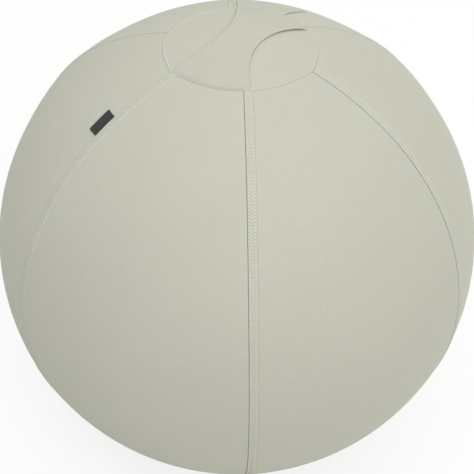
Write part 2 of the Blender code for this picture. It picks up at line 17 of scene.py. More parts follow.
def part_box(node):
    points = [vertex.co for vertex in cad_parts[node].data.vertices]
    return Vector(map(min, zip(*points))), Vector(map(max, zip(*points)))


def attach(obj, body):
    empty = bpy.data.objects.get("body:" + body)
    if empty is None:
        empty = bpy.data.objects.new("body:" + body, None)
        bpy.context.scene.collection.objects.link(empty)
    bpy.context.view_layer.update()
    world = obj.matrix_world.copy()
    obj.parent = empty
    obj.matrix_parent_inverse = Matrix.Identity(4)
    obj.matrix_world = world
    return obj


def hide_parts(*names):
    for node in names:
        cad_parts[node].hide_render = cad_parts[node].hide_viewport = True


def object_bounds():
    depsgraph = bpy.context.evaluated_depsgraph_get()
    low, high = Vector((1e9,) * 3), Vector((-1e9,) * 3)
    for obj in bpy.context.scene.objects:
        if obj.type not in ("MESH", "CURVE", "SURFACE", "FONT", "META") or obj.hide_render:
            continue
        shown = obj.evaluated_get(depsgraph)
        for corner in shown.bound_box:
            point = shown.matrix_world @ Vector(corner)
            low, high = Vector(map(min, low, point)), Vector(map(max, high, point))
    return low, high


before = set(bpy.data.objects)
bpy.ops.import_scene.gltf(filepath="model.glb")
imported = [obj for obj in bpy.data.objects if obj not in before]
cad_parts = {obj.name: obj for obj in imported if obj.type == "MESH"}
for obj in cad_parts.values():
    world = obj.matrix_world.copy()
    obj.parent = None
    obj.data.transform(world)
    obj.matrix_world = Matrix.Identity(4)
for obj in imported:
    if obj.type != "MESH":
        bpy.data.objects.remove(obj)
CAD_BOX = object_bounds()

bl_info = {
    "name": "Sitting ball",
    "version": (1, 0, 0),
    "blender": (4, 5, 0),
    "location": "View3D > Sidebar > Ball",
    "description": "Sewn cover, carry strap, label, base, zip and inner pieces of a sitting ball",
    "category": "Mesh",
}

MM = 0.001
GORE_NAMES = ("front_right", "right", "rear_right", "rear_left", "left", "front_left")
SEAM_NAMES = ("front", "front_right", "rear_right", "rear", "rear_left", "front_left")
SECTOR = math.tau / len(GORE_NAMES)
ZIP_AZIMUTH = math.pi
LABEL_SEAM = SEAM_NAMES.index("front_left")


def length(name, description, default):
    return FloatProperty(name=name, description=description, default=default, unit="LENGTH", precision=5)


def turn(name, description, degrees):
    return FloatProperty(name=name, description=description, default=math.radians(degrees), unit="ROTATION")


def amount(name, description, default):
    return FloatProperty(name=name, description=description, default=default, min=0, precision=3)


def colour(name, description, default):
    return FloatVectorProperty(
        name=name, description=description, default=default, size=3, min=0, max=1, subtype="COLOR"
    )


# Sizes and colours that a user would change
class BallCover(bpy.types.PropertyGroup):
    equator_radius: length("Equator radius", "Ball axis to the middle of a gore", CAD_BOX[1].x)
    crown_height: length("Crown height", "Floor to the top of the crown panel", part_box("crown_panel")[1].z)
    foot_radius: length("Foot radius", "Flat circle that stands on the floor", 0.095)
    seam_ridge: length("Seam ridge", "How far a gore seam stands out over the ball's shoulder", 0.0040)
    crown_radius: length("Crown radius", "Ball axis to the crown seam", 0.097)
    crown_flat: length("Crown flat", "How far the crown seam is drawn in at its front and back", 0.0045)
    crown_corner: length("Crown corner", "How far it is drawn out at the two front side seams", 0.0035)
    base_radius: length("Base radius", "Ball axis to the base seam", 0.186)
    cloth: length("Cloth", "Thickness of a cover panel", 0.0018)
    fit: length("Fit", "Room between pieces that touch", 0.0003)
    seam_gap: length("Seam gap", "Ditch between two panels that are sewn together", 0.00034)
    crown_gap: length("Crown seam gap", "Ditch between the crown panel and the gores", 0.0001)
    ditch: length("Ditch", "Depth of a seam's ditch", 0.0010)
    crown_ditch: length("Crown ditch", "Depth of the crown seam's ditch", 0.0003)
    ditch_round: length("Ditch rounding", "How fast a panel turns down into a ditch", 0.00016)
    lip: length("Lip", "Height of the soft roll on the plain side of a seam", 0.0001)
    band_width: length("Band width", "Stitched band on one side of each gore seam", 0.0114)
    band_rise: length("Band rise", "Height of that band", 0.0006)
    rim_width: length("Rim width", "Raised roll at the edge of the crown panel", 0.0028)
    rim_rise: length("Rim rise", "Height of that roll", 0.0008)
    near_row: length("Near stitch row", "Ditch to the first row of stitches", 0.0018)
    far_row: length("Far stitch row", "Ditch to the second row of stitches", 0.0091)
    stitch_pitch: length("Stitch pitch", "From one stitch to the next", 0.0039)
    thread: length("Thread", "Thickness of the sewing thread", 0.0009)
    cover_thread: length("Cover thread", "Thickness of the thread that crosses between the rows", 0.0004)
    stitch_sink: length("Stitch sink", "How far a stitch row pulls the cloth in", 0.00028)
    foot_sink: length("Foot sink", "How far the cloth is drawn in beside the band", 0.0005)
    pucker: length("Pucker", "Height of the small ripples beside a seam", 0.00016)
    crease_azimuth: turn("Crease azimuth", "Place of the crease behind the crown", 143)
    crease_start: turn("Crease start", "Tilt where that crease begins", 17.6)
    crease_end: turn("Crease end", "Tilt where that crease runs out", 30)
    crease: length("Crease", "Depth of that crease", 0.0044)
    colour: colour("Cover colour", "Grey-green cloth of the cover", (0.628, 0.6295, 0.536))
    thread_colour: colour("Thread colour", "Sewing thread of the gore seams", (0.87, 0.865, 0.78))
    hem_thread_colour: colour("Hem thread colour", "Sewing thread of the hems", (0.66, 0.66, 0.57))
    tape_colour: colour("Seam tape colour", "Strip inside each gore seam", (0.52, 0.52, 0.45))


class BallStrap(bpy.types.PropertyGroup):
    thickness: length("Thickness", "Upper layer of the strap", 0.0007)
    lining: length("Lining", "Lower layer of the strap", 0.0004)
    set_back: length("Set back", "Strap's long edge to the lining's", 0.0028)
    waist: length("Waist", "Width at the middle of the crown", 0.050)
    axis: turn("Axis", "Azimuth of the strap's front end", -30)
    end_right: turn("Right end", "Axis to the corners on its right, seen from the ball's axis", 35.5)
    end_left: turn("Left end", "Axis to the corners on its left, seen from the ball's axis", 31)
    edge_lift: length("Edge lift", "How far its long edges stand off the crown", 0.0006)
    middle_lift: length("Middle lift", "How far its middle stands off the crown", 0.0002)
    gap: length("Finger gap", "How far its right edge gapes towards the back", 0.0010)
    gap_place: length("Gap place", "Middle of the crown to that gap, along the strap", -0.058)
    gap_span: length("Gap span", "Length over which it gapes", 0.030)
    flare: amount("Flare", "How late its sides widen towards the ends", 2.0)
    hem: length("Hem", "Width of the turned edge", 0.0082)
    hem_rise: length("Hem rise", "Height of the turned edge", 0.0003)
    hem_row: length("Hem stitch row", "Edge to the row of stitches", 0.0052)


class BallLabel(bpy.types.PropertyGroup):
    length: length("Length", "Along the seam", 0.0330)
    width: length("Width", "Seam to the folded edge", 0.0155)
    ply: length("Ply", "Thickness of one layer of the folded tape", 0.0004)
    height: length("Height", "Both layers and the air between them", 0.0010)
    distance: length("Distance", "Crown's top to the near end, along the cover", 0.1864)
    colour: colour("Label colour", "Dark woven tape", (0.045, 0.046, 0.046))


class BallBase(bpy.types.PropertyGroup):
    pad_radius: length("Pad radius", "Pouch under the bladder", 0.119)
    fill_radius: length("Fill radius", "Sand in the pouch", 0.112)
    pouch: length("Pouch", "Thickness of the pouch's cloth", 0.0008)
    pad_height: length("Pad height", "Floor to the top of the sand", 0.0112)
    colour: colour("Base colour", "Dark cloth under the ball", (0.095, 0.096, 0.090))
    pouch_colour: colour("Pouch colour", "Cloth of the sand pouch", (0.28, 0.28, 0.27))
    sand_colour: colour("Sand colour", "Sand in the pouch", (0.45, 0.36, 0.24))


class BallBladder(bpy.types.PropertyGroup):
    wall: length("Wall", "Thickness of the bladder", 0.0010)
    rib: length("Rib", "Height of the moulded rings", 0.0002)
    rib_pitch: length("Rib pitch", "From one moulded ring to the next", 0.022)
    valve_hole: length("Valve hole", "Radius of the hole for the valve seat", 0.0093)
    colour: colour("Bladder colour", "Grey vinyl", (0.33, 0.34, 0.34))
    plug_colour: colour("Plug colour", "White plug of the valve", (0.75, 0.75, 0.73))


class BallZip(bpy.types.PropertyGroup):
    half_span: turn("Half span", "Half of the row of teeth, seen from the ball's axis", 50)
    hem: length("Hem", "Middle of the zip to the edge of a panel", 0.0086)
    hem_ramp: turn("Hem ramp", "Turn over which a panel's edge runs out to the hem", 1.5)
    hem_row: length("Hem stitch row", "Panel's edge to the row of stitches", 0.0026)
    tape: length("Tape", "Thickness of the zip tape", 0.0008)
    tape_depth: length("Tape depth", "Cover's outside to the tape", 0.0004)
    tape_tuck: length("Tape tuck", "How far the tape runs under the hem", 0.0060)
    teeth: length("Teeth", "Middle of the zip to the root of the teeth", 0.0034)
    tooth_tip: length("Tooth tip", "Middle of the zip to the tip of a tooth", 0.0008)
    tooth_pitch: length("Tooth pitch", "From one tooth to the next in a row", 0.0025)
    chain: length("Chain", "Thickness of the teeth", 0.0024)
    stop: length("Stop", "Length of a stop at the end of the teeth", 0.004)
    guard: length("Guard", "Thickness of the cloth behind the zip", 0.0007)
    guard_reach: length("Guard reach", "Middle of the zip to the guard's edge", 0.011)
    guard_depth: length("Guard depth", "Cover's outside to the guard", 0.0040)
    edge_round: length("Edge rounding", "Rounded edges of teeth, slider and pull", 0.0002)
    tape_colour: colour("Tape colour", "Woven tape of the zip", (0.22, 0.22, 0.20))
    teeth_colour: colour("Teeth colour", "Moulded teeth and stops", (0.16, 0.16, 0.15))
    metal_colour: colour("Metal colour", "Cast slider and pull", (0.30, 0.30, 0.29))


class BallStage(bpy.types.PropertyGroup):
    distance: length("Camera distance", "Camera to the ball's centre", 1.8366)
    elevation: turn("Camera elevation", "Camera above the ball's centre", 41.26)
    azimuth: turn("Camera azimuth", "Camera round the ball from the front", -2.82)
    roll: turn("Camera roll", "Lean of the camera", 1.07)
    lens: FloatProperty(name="Lens", description="Focal length", default=100.4, unit="CAMERA")
    sky: amount("Sky", "Soft light from straight above, which falls to none at the horizon", 1.18)
    key: amount("Key", "Share of the light that the soft lamp gives", 0.297)
    key_size: length("Key size", "Side of the soft lamp", 1.8)
    key_distance: length("Key distance", "Soft lamp to the ball's centre", 3.2)
    key_azimuth: turn("Key azimuth", "Soft lamp round the ball from the front", 16)
    key_elevation: turn("Key elevation", "Soft lamp above the ball's centre", 38)
    floor_colour: colour("Floor colour", "Pale floor", (0.585, 0.585, 0.58))


def ball(group):
    """One of the property groups that this add-on keeps on the scene."""
    return getattr(bpy.context.scene, "ball_" + group)


# Form of the cover
RIDGE_FADE = 0.45  # tilt over which a seam's ridge rises from the crown seam and falls to the base seam
RIDGE_SHARPNESS = 6  # power that narrows a ridge towards its seam
RIDGE_LEAST = 0.15  # share of the ridge that is left away from the shoulder
SHOULDER, SHOULDER_SPAN = math.radians(60), math.radians(23)
CORNER_SPAN = math.radians(9)
CROWN_PULL = 3  # power by which the draw on the crown seam dies out towards the pole
LEAN_SPAN = math.radians(24)
# Leaning seams: azimuth, tilt where the lean starts, tilt over which it grows, and the turn, all in degrees
LEANS = ((0, 45, 90, 0.9), (60, 0, 18, -0.7), (60, 34, 36, -0.4))
LEAST_DROP = 1e-6
ZIP_TAPE_END = 0.004  # how far the zip tapes run on past the stops
# Waves of a ripple: span in millimetres, phase and height
RIPPLES = ((7.3, 0.4, 0.45), (11.9, 2.1, 0.35), (19.0, 4.4, 0.30))


def smooth(value):
    """A step from 0 to 1 with soft ends."""
    value = np.clip(value, 0, 1)
    return value * value * (3 - 2 * value)


def bell(distance, width):
    return np.exp(-((distance / width) ** 2))


def wrapped(angle):
    """The same direction, as an angle between minus and plus half a turn."""
    return (angle + math.pi) % math.tau - math.pi


def foot_share():
    """Height of the ball's centre over the floor, as a share of the radius at the pole."""
    cover = ball("cover")
    return math.sqrt(1 - (cover.foot_radius / cover.equator_radius) ** 2)


def pole_radius():
    return ball("cover").crown_height / (1 + foot_share())


def centre_height():
    return pole_radius() * foot_share()


def tilt(plan_radius, side=1):
    """Tilt of the cover's point this far from the axis, in the upper (1) or lower (-1) half."""
    share = np.asarray(plan_radius) / ball("cover").equator_radius
    return np.arctan2(plan_radius, side * pole_radius() * np.sqrt(1 - share**2))


def crown_tilt():
    return float(tilt(ball("cover").crown_radius))


def base_tilt():
    return float(tilt(ball("cover").base_radius, -1))


def round_radius(theta):
    """Distance from the ball's centre to the plain spheroid."""
    return 1 / np.hypot(np.sin(theta) / ball("cover").equator_radius, np.cos(theta) / pole_radius())


def outward(theta, phi):
    theta, phi = np.broadcast_arrays(theta, phi)
    return np.stack((np.sin(theta) * np.sin(phi), -np.sin(theta) * np.cos(phi), np.cos(theta)), -1)


def crown_drawn(theta, phi):
    """Tilt by which the strap and the seams draw the crown seam and the cloth near it off a circle."""
    cover = ball("cover")
    around = np.abs(wrapped(phi))
    outwards = cover.crown_corner * bell(around - SECTOR, CORNER_SPAN) - cover.crown_flat * np.cos(phi) ** 2
    inside = np.minimum(theta / crown_tilt(), 1) ** CROWN_PULL
    outside = bell(np.maximum(theta - crown_tilt(), 0), crown_tilt())
    return inside * outside * outwards / pole_radius()


def lean(theta, phi):
    """Turn by which the front seam leans right towards the base, and the one beside it to the front."""
    turn_by = 0
    for seam, start, run, turned in LEANS:
        off = wrapped(phi - math.radians(seam))
        grown = smooth((theta - math.radians(start)) / math.radians(run))
        turn_by = turn_by + math.radians(turned) * grown * bell(off, LEAN_SPAN)
    return turn_by


def skin(theta, phi, depth, floor=None):
    """Points this deep under the cover's outside. Under the ball they flatten at the height floor."""
    theta, phi, depth = np.broadcast_arrays(theta, phi, depth)
    theta = theta + crown_drawn(theta, phi)
    fade = smooth((theta - crown_tilt()) / RIDGE_FADE) * smooth((base_tilt() - theta) / RIDGE_FADE)
    shoulder = bell(theta - SHOULDER, SHOULDER_SPAN)
    rise = ball("cover").seam_ridge * (RIDGE_LEAST + (1 - RIDGE_LEAST) * shoulder)
    ridge = rise * fade * np.cos(phi * len(GORE_NAMES) / 2) ** RIDGE_SHARPNESS
    reach = round_radius(theta) + ridge - depth
    floor = depth if floor is None else floor
    drop = -np.minimum(np.cos(theta), -LEAST_DROP)
    reach = np.where(np.cos(theta) < 0, np.minimum(reach, (centre_height() - floor) / drop), reach)
    return reach[..., None] * outward(theta, phi + lean(theta, phi)) + (0, 0, centre_height())


def turn_of(arc, theta):
    """Azimuth that an arc along a parallel spans."""
    return arc / (round_radius(theta) * np.sin(theta))


def zip_half():
    """Half of the zip's tapes, seen from the ball's axis."""
    return ball("zip").half_span + (ball("zip").stop + ZIP_TAPE_END) / ball("cover").base_radius


def hem(phi):
    """Base seam's line to a panel's edge: half a ditch, or the hem that opens round the zip."""
    zipper = ball("zip")
    off = np.abs(wrapped(phi - ZIP_AZIMUTH))
    half_gap = ball("cover").seam_gap / 2
    return half_gap + (zipper.hem - half_gap) * smooth((zip_half() - off) / zipper.hem_ramp)


def into_ditch(distance, gap=None):
    """1 at a panel's edge, falling to 0 over the rounding of the edge."""
    cover = ball("cover")
    gap = cover.seam_gap if gap is None else gap
    return np.exp(-np.maximum(distance - gap / 2, 0) / cover.ditch_round)


def ripple(along, slant):
    """A fixed uneven wave of about unit height, for puckers and soft wrinkles."""
    shifted = (along + slant) / MM
    return sum(height * np.sin(math.tau * shifted / span + phase) for span, phase, height in RIPPLES)


# Meshes
WELD = 2e-6
CLOTH_SHADE, HARD_SHADE = 50, 40  # degrees up to which an edge is shaded smooth
FLAT_ANGLE = math.radians(1.5)  # facets that meet under less than this are joined
SHARP_ANGLE = math.radians(35)  # edges over this are rounded


def steps(*values):
    """Places in millimetres, as metres."""
    return np.array(values) * MM


def read_points(mesh):
    points = np.empty(len(mesh.vertices) * 3, np.float32)
    mesh.vertices.foreach_get("co", points)
    return points.reshape(-1, 3)


def write_points(mesh, points):
    mesh.vertices.foreach_set("co", np.ascontiguousarray(points, np.float32).ravel())
    mesh.update()


def select_only(piece):
    bpy.ops.object.select_all(action="DESELECT")
    piece.select_set(True)
    bpy.context.view_layer.objects.active = piece


def added(primitive, **settings):
    """A new primitive, with nothing else selected."""
    bpy.ops.object.select_all(action="DESELECT")
    primitive(**settings)
    return bpy.context.active_object


def linked(name, data):
    """A new object in the scene, for a mesh, a lamp or a camera."""
    piece = bpy.data.objects.new(name, data)
    bpy.context.scene.collection.objects.link(piece)
    return piece


def taken(piece):
    """Points and faces of a form, which is removed."""
    points = read_points(piece.data)
    faces = [tuple(face.vertices) for face in piece.data.polygons]
    bpy.data.objects.remove(piece)
    return points, faces


def edit(piece, *actions):
    """Runs mesh operators on the whole of a piece in edit mode. An action is an operator and its settings."""
    select_only(piece)
    bpy.ops.object.mode_set(mode="EDIT")
    for operator, settings in actions:
        bpy.ops.mesh.select_all(action="SELECT")
        operator(**settings)
    bpy.ops.object.mode_set(mode="OBJECT")


def apply_modifier(piece, kind, **settings):
    select_only(piece)
    modifier = piece.modifiers.new(kind.lower(), kind)
    for name, value in settings.items():
        setattr(modifier, name, value)
    bpy.ops.object.modifier_apply(modifier=modifier.name)


def shade(piece, degrees=CLOTH_SHADE):
    select_only(piece)
    bpy.ops.object.shade_smooth_by_angle(angle=math.radians(degrees))


def grid(rows, columns):
    """A plain grid one unit wide, with the row and column of each vertex."""
    piece = added(
        bpy.ops.mesh.primitive_grid_add, x_subdivisions=columns - 1, y_subdivisions=rows - 1, size=1
    )
    flat = read_points(piece.data)
    column = np.rint((flat[:, 0] + 0.5) * (columns - 1)).astype(int)
    row = np.rint((flat[:, 1] + 0.5) * (rows - 1)).astype(int)
    return piece, row, column


def cloth_piece(name, front, back, grain, relief=None, welded=False):
    """A cloth panel from two grids of points, its front and its back, joined along their edges.

    grain gives each point's place on the flat cloth, for the weave, and relief how far it stands proud.
    """
    rows, columns = front.shape[:2]
    piece, row, column = grid(rows, columns)
    piece.name = piece.data.name = name
    mesh = piece.data
    write_points(mesh, front[row, column])
    place = mesh.attributes.new("place", "INT", "POINT")
    place.data.foreach_set("value", (row * columns + column).astype(np.int32))
    if relief is not None:
        raised = mesh.attributes.new("relief", "FLOAT", "POINT")
        raised.data.foreach_set("value", (relief[row, column] / MM).astype(np.float32))
    corners = np.empty(len(mesh.loops), np.int32)
    mesh.loops.foreach_get("vertex_index", corners)
    mesh.uv_layers[0].name = "grain"
    mesh.uv_layers[0].uv.foreach_set("vector", grain[row, column][corners].astype(np.float32).ravel())
    normals = np.empty(len(mesh.vertices) * 3, np.float32)
    mesh.vertices.foreach_get("normal", normals)
    if np.sum(normals.reshape(-1, 3) * (front - back)[row, column]) < 0:
        mesh.flip_normals()
    if welded:
        edit(piece, (bpy.ops.mesh.remove_doubles, {"threshold": WELD}))
    outside = len(mesh.vertices)
    apply_modifier(piece, "SOLIDIFY", thickness=ball("cover").fit, offset=-1)
    kept = np.empty(len(mesh.vertices), np.int32)
    mesh.attributes["place"].data.foreach_get("value", kept)
    points = read_points(mesh)
    points[outside:] = back.reshape(-1, 3)[kept[outside:]]
    write_points(mesh, points)
    mesh.attributes.remove(mesh.attributes["place"])
    shade(piece)
    return piece


def dress(piece, material, slot, *nodes, body="ball"):
    """Gives a piece its finish and its body, and lets it stand for the solids it replaces."""
    piece.data.materials.clear()
    piece.data.materials.append(material)
    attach(piece, body)
    if nodes:
        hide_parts(*nodes)
    return piece


# Sewing
STITCH_SIDES = 6
STITCH_CUTS = 3
STITCH_BOW = 0.24  # share of the thread's thickness by which a stitch's ends dip
STITCH_TAPER = 0.35  # share of the thickness that a stitch loses at its ends
STITCH_SHOWN = 0.64  # share of the pitch over which a stitch of a gore seam shows
HEM_THREAD = 0.0007
HEM_STITCH_SHOWN = 0.8  # the same for a hem
COVER_SLANT = 0.67  # rise of the threads between two rows, as a share of their run


def stitch_form(span, thread):
    """One stitch along X: a short thread whose ends dip into the cloth."""
    piece = added(
        bpy.ops.mesh.primitive_cylinder_add,
        vertices=STITCH_SIDES, radius=thread / 2, depth=span, rotation=(0, math.pi / 2, 0),
    )
    bpy.ops.object.transform_apply(location=False, rotation=True, scale=False)
    bpy.ops.object.mode_set(mode="EDIT")
    bpy.ops.mesh.select_all(action="DESELECT")
    form = bmesh.from_edit_mesh(piece.data)
    for edge in form.edges:
        run = edge.verts[0].co - edge.verts[1].co
        edge.select_set(abs(run.x) > span / 2)
    bmesh.update_edit_mesh(piece.data)
    bpy.ops.mesh.subdivide(number_cuts=STITCH_CUTS)
    bpy.ops.object.mode_set(mode="OBJECT")
    points, faces = taken(piece)
    along = points[:, 0] / (span / 2)
    points[:, 1:] *= 1 - STITCH_TAPER * along[:, None] ** 4
    points[:, 2] -= 2 * STITCH_BOW * thread * along**2 - STITCH_BOW * thread
    return points, faces


def copies(name, shaped, faces):
    """One piece of many like shapes: the points of each copy, and the faces that all of them share."""
    count, every = shaped.shape[:2]
    all_faces = [tuple(corner + every * copy for corner in face) for copy in range(count) for face in faces]
    mesh = bpy.data.meshes.new(name)
    mesh.from_pydata(shaped.reshape(-1, 3), [], all_faces)
    mesh.validate()
    piece = linked(name, mesh)
    shade(piece)
    return piece


def along_line(line, outs, pitch):
    """Places every pitch along a line of points: centre, run of the line and outward direction."""
    runs = np.linalg.norm(np.diff(line, axis=0), axis=1)
    reached = np.concatenate(([0], np.cumsum(runs)))
    count = int(reached[-1] / pitch)
    at = (np.arange(count) + 0.5) * reached[-1] / count

    def read(values, places):
        return np.stack([np.interp(places, reached, values[:, axis]) for axis in range(3)], -1)

    return read(line, at), read(line, at + pitch / 4) - read(line, at - pitch / 4), read(outs, at)


def sew(name, places, span, thread):
    """One mesh of stitches at the given places, each a centre, a run and an outward direction."""
    points, faces = stitch_form(span, thread)
    centre, run, out = (np.concatenate(group) for group in zip(*places))
    run = run / np.linalg.norm(run, axis=1, keepdims=True)
    side = np.cross(out, run)
    side = side / np.linalg.norm(side, axis=1, keepdims=True)
    out = np.cross(run, side)
    shaped = (
        centre[:, None]
        + points[None, :, 0:1] * run[:, None]
        + points[None, :, 1:2] * side[:, None]
        + points[None, :, 2:3] * out[:, None]
    )
    return copies(name, shaped, faces)


def sew_hem(name, places):
    piece = sew(name, places, HEM_STITCH_SHOWN * ball("cover").stitch_pitch, HEM_THREAD)
    return dress(piece, hem_thread_finish(), "cover_cloth")


# Finishes
NOISE_RANGE = (0.3, 0.7)
HOLE_REACH = (0.4 * MM, 1.0 * MM)  # needle holes: where they start to fade from their row, and where they end
# painted shade in the needle holes: their darkest tone
HOLE_SHADE = 0.86
ROPE_RUN = 1.5 * MM  # over which the slanting ripples fade at a row of stitches
# painted shade in the troughs and painted highlight on the crests of the slanting ripples
ROPE_LIGHT_AND_SHADE = (0.93, 1.07)
ROPE_HEIGHT = 0.35  # as a share of the depth of the holes
BAND_BUMP, BAND_BUMP_STRENGTH = 0.0003, 0.6
# Painted shade of sunk cloth, such as ditches and creases: relief where it is darkest, relief where it
# starts, and the darkest tone
SEWN_SHADE = (-0.7, -0.1, 0.6)
PLAIN_SHADE = (-0.9, -0.3, 0.55)
RAISED_HIGHLIGHT = 1.045  # painted highlight: tone of cloth that stands a millimetre proud
SLOW_TONES = (0.988, 1.012)
SLOW_SCALE = 7.0
YARN_DIP = 0.45  # share of its height that a yarn loses where it dips under the next
YARN_RUN = 30  # an uneven stretch of yarn is this many times as long as the yarn is thick
YARN_HIGHLIGHT = 0.35  # painted highlight on the top of a yarn, as a share of the painted shade on its sides
YARN_HEIGHT, YARN_STRENGTH = 0.35, 0.3  # bump of the yarns: height as a share of their pitch, and strength
COVER_YARN = 0.00062
COVER_SHEEN = 0.57
STRAP_SHADE = 0.97  # painted shade: the strap's copy of the cover cloth, whose weave runs across the gores', is made a little darker


class Finish:
    """A material under construction: short ways to add nodes and link them."""

    def __init__(self, name):
        self.material = bpy.data.materials.new(name)
        self.material.use_nodes = True
        self.tree = self.material.node_tree
        self.shader = self.tree.nodes["Principled BSDF"]

    def add(self, kind, **settings):
        node = self.tree.nodes.new("ShaderNode" + kind)
        for name, value in settings.items():
            setattr(node, name, value)
        return node

    def feed(self, socket, value):
        if isinstance(value, bpy.types.NodeSocket):
            self.tree.links.new(value, socket)
        else:
            socket.default_value = value

    def math(self, operation, *values, clamp=False):
        node = self.add("Math", operation=operation, use_clamp=clamp)
        for socket, value in zip(node.inputs, values):
            self.feed(socket, value)
        return node.outputs[0]

    def ranged(self, value, low, high, to_low, to_high):
        node = self.add("MapRange")
        for socket, number in zip(node.inputs, (value, low, high, to_low, to_high)):
            self.feed(socket, number)
        return node.outputs[0]

    def spread(self, noise, to_low, to_high):
        """A noise's usual range brought to another."""
        return self.ranged(noise, *NOISE_RANGE, to_low, to_high)

    def place(self, source):
        """Coordinates in metres: the cloth's own grain, or the object's frame."""
        if source == "grain":
            return self.add("UVMap", uv_map="grain").outputs["UV"]
        return self.add("TexCoord").outputs["Object"]

    def stretched(self, place, scale, turned=0.0):
        node = self.add("Mapping")
        self.feed(node.inputs["Vector"], place)
        node.inputs["Scale"].default_value = scale
        node.inputs["Rotation"].default_value = (0, 0, turned)
        return node.outputs[0]

    def noise(self, place, scale, detail=2.0, roughness=0.5):
        node = self.add("TexNoise")
        self.feed(node.inputs["Vector"], place)
        node.inputs["Scale"].default_value = scale
        node.inputs["Detail"].default_value = detail
        node.inputs["Roughness"].default_value = roughness
        return node.outputs["Fac"]

    def tint(self, base, factor):
        """The base colour, made lighter or darker by a factor."""
        node = self.add("VectorMath", operation="SCALE")
        node.inputs[0].default_value = tuple(base)
        self.feed(node.inputs["Scale"], factor)
        return node.outputs[0]

    def bump(self, height, distance, strength, under=None):
        node = self.add("Bump")
        node.inputs["Strength"].default_value = strength
        node.inputs["Distance"].default_value = distance
        self.feed(node.inputs["Height"], height)
        if under is not None:
            self.feed(node.inputs["Normal"], under)
        return node.outputs[0]

    def set(self, **values):
        for name, value in values.items():
            self.feed(self.shader.inputs[name.replace("_", " ")], value)


def finish_once(make):
    """Keeps one material for each finish, however many pieces ask for it."""

    def kept(*settings):
        name = "_".join([make.__name__, *(str(setting) for setting in settings)])
        return bpy.data.materials.get(name) or make(name, *settings)

    return kept


def sewn_band(made, x, y):
    """Tone and height of a gore's band: needle holes between the stitches, with painted shade in them, and
    slanting ripples, with painted shade in their troughs and painted highlight on their crests.
    """
    cover = ball("cover")
    beat = made.math("COSINE", made.math("MULTIPLY", y, math.tau / cover.stitch_pitch))
    rows = []
    for place in (cover.near_row, cover.far_row):
        off = made.math("ABSOLUTE", made.math("SUBTRACT", x, place))
        rows.append(made.ranged(off, *HOLE_REACH, 1.0, 0.0))
    holes = made.math("MULTIPLY", made.math("MAXIMUM", *rows), made.ranged(beat, -1.0, 0.0, 1.0, 0.0))
    slanted = made.math("MULTIPLY_ADD", x, COVER_SLANT, y)
    rope = made.math("SINE", made.math("MULTIPLY", slanted, math.tau / cover.stitch_pitch))
    begun = made.ranged(x, cover.near_row, cover.near_row + ROPE_RUN, 0.0, 1.0)
    ended = made.ranged(x, cover.far_row - ROPE_RUN, cover.far_row, 1.0, 0.0)
    rope = made.math("MULTIPLY", rope, made.math("MULTIPLY", begun, ended))
    # painted shade in the needle holes
    hole_shade = made.ranged(holes, 0.0, 1.0, 1.0, HOLE_SHADE)
    # painted shade and highlight that follow the slanting ripples
    tone = made.math("MULTIPLY", hole_shade, made.ranged(rope, -1.0, 1.0, *ROPE_LIGHT_AND_SHADE))
    return tone, made.math("SUBTRACT", made.math("MULTIPLY", rope, ROPE_HEIGHT), holes)


def woven(name, base, source, pitch, yarn_shade=0.10, drift=0.03, sheen=0.06, sewn=False):
    """Plain-woven cloth: rounded yarns over and under each other, uneven yarns, slow drifts of tone, and
    painted shade and highlight: on the yarns' sides and tops, in sunk cloth and on raised cloth.
    """
    made = Finish(name)
    place = made.place(source)
    parts = made.add("SeparateXYZ")
    made.feed(parts.inputs[0], place)
    warp = made.math("MULTIPLY", parts.outputs[0], math.pi / pitch)
    weft = made.math("MULTIPLY", parts.outputs[1], math.pi / pitch)
    across, up = made.math("SINE", warp), made.math("SINE", weft)
    over = made.math("GREATER_THAN", made.math("MULTIPLY", across, up), 0.0)
    round_warp, round_weft = made.math("ABSOLUTE", across), made.math("ABSOLUTE", up)
    dips = [made.math("MULTIPLY_ADD", yarns, YARN_DIP, 1 - YARN_DIP) for yarns in (round_weft, round_warp)]
    warp_top = made.math("MULTIPLY", round_warp, dips[0])
    weft_top = made.math("MULTIPLY", round_weft, dips[1])
    yarn = made.add("Mix")
    for socket, value in zip(yarn.inputs[:1] + yarn.inputs[2:4], (over, weft_top, warp_top)):
        made.feed(socket, value)
    height = yarn.outputs[0]
    count = 1 / pitch
    warp_tone = made.noise(made.stretched(place, (count, count / YARN_RUN, count)), 1.0)
    weft_tone = made.noise(made.stretched(place, (count / YARN_RUN, count, count)), 1.0)
    slow = made.noise(place, SLOW_SCALE, 3.0)
    relief = made.add("Attribute", attribute_name="relief").outputs["Fac"]
    deep, shallow, darkest = SEWN_SHADE if sewn else PLAIN_SHADE
    tones = (
        # painted shade on the yarns' sides and painted highlight on their tops
        made.ranged(height, 0.0, 1.0, 1 - yarn_shade, 1 + yarn_shade * YARN_HIGHLIGHT),
        made.spread(warp_tone, 1 - drift, 1 + drift),
        made.spread(weft_tone, 1 - drift, 1 + drift),
        made.spread(slow, *SLOW_TONES),
        # painted shade where the cloth is sunk
        made.ranged(relief, deep, shallow, darkest, 1.0),
        # painted highlight where the cloth stands proud
        made.ranged(relief, 0.0, 1.0, 1.0, RAISED_HIGHLIGHT),
    )
    tone, sunk = sewn_band(made, parts.outputs[0], parts.outputs[1]) if sewn else (1.0, None)
    for other in tones:
        tone = made.math("MULTIPLY", tone, other)
    under = made.bump(sunk, BAND_BUMP, BAND_BUMP_STRENGTH) if sewn else None
    made.set(
        Base_Color=made.tint(base, tone),
        Roughness=made.ranged(height, 0.0, 1.0, 0.96, 0.86),
        Normal=made.bump(height, pitch * YARN_HEIGHT, YARN_STRENGTH, under),
        Sheen_Weight=sheen,
        Sheen_Roughness=0.6,
        Sheen_Tint=(*(part / max(base) for part in base), 1.0),
        Specular_IOR_Level=0.25,
    )
    return made.material


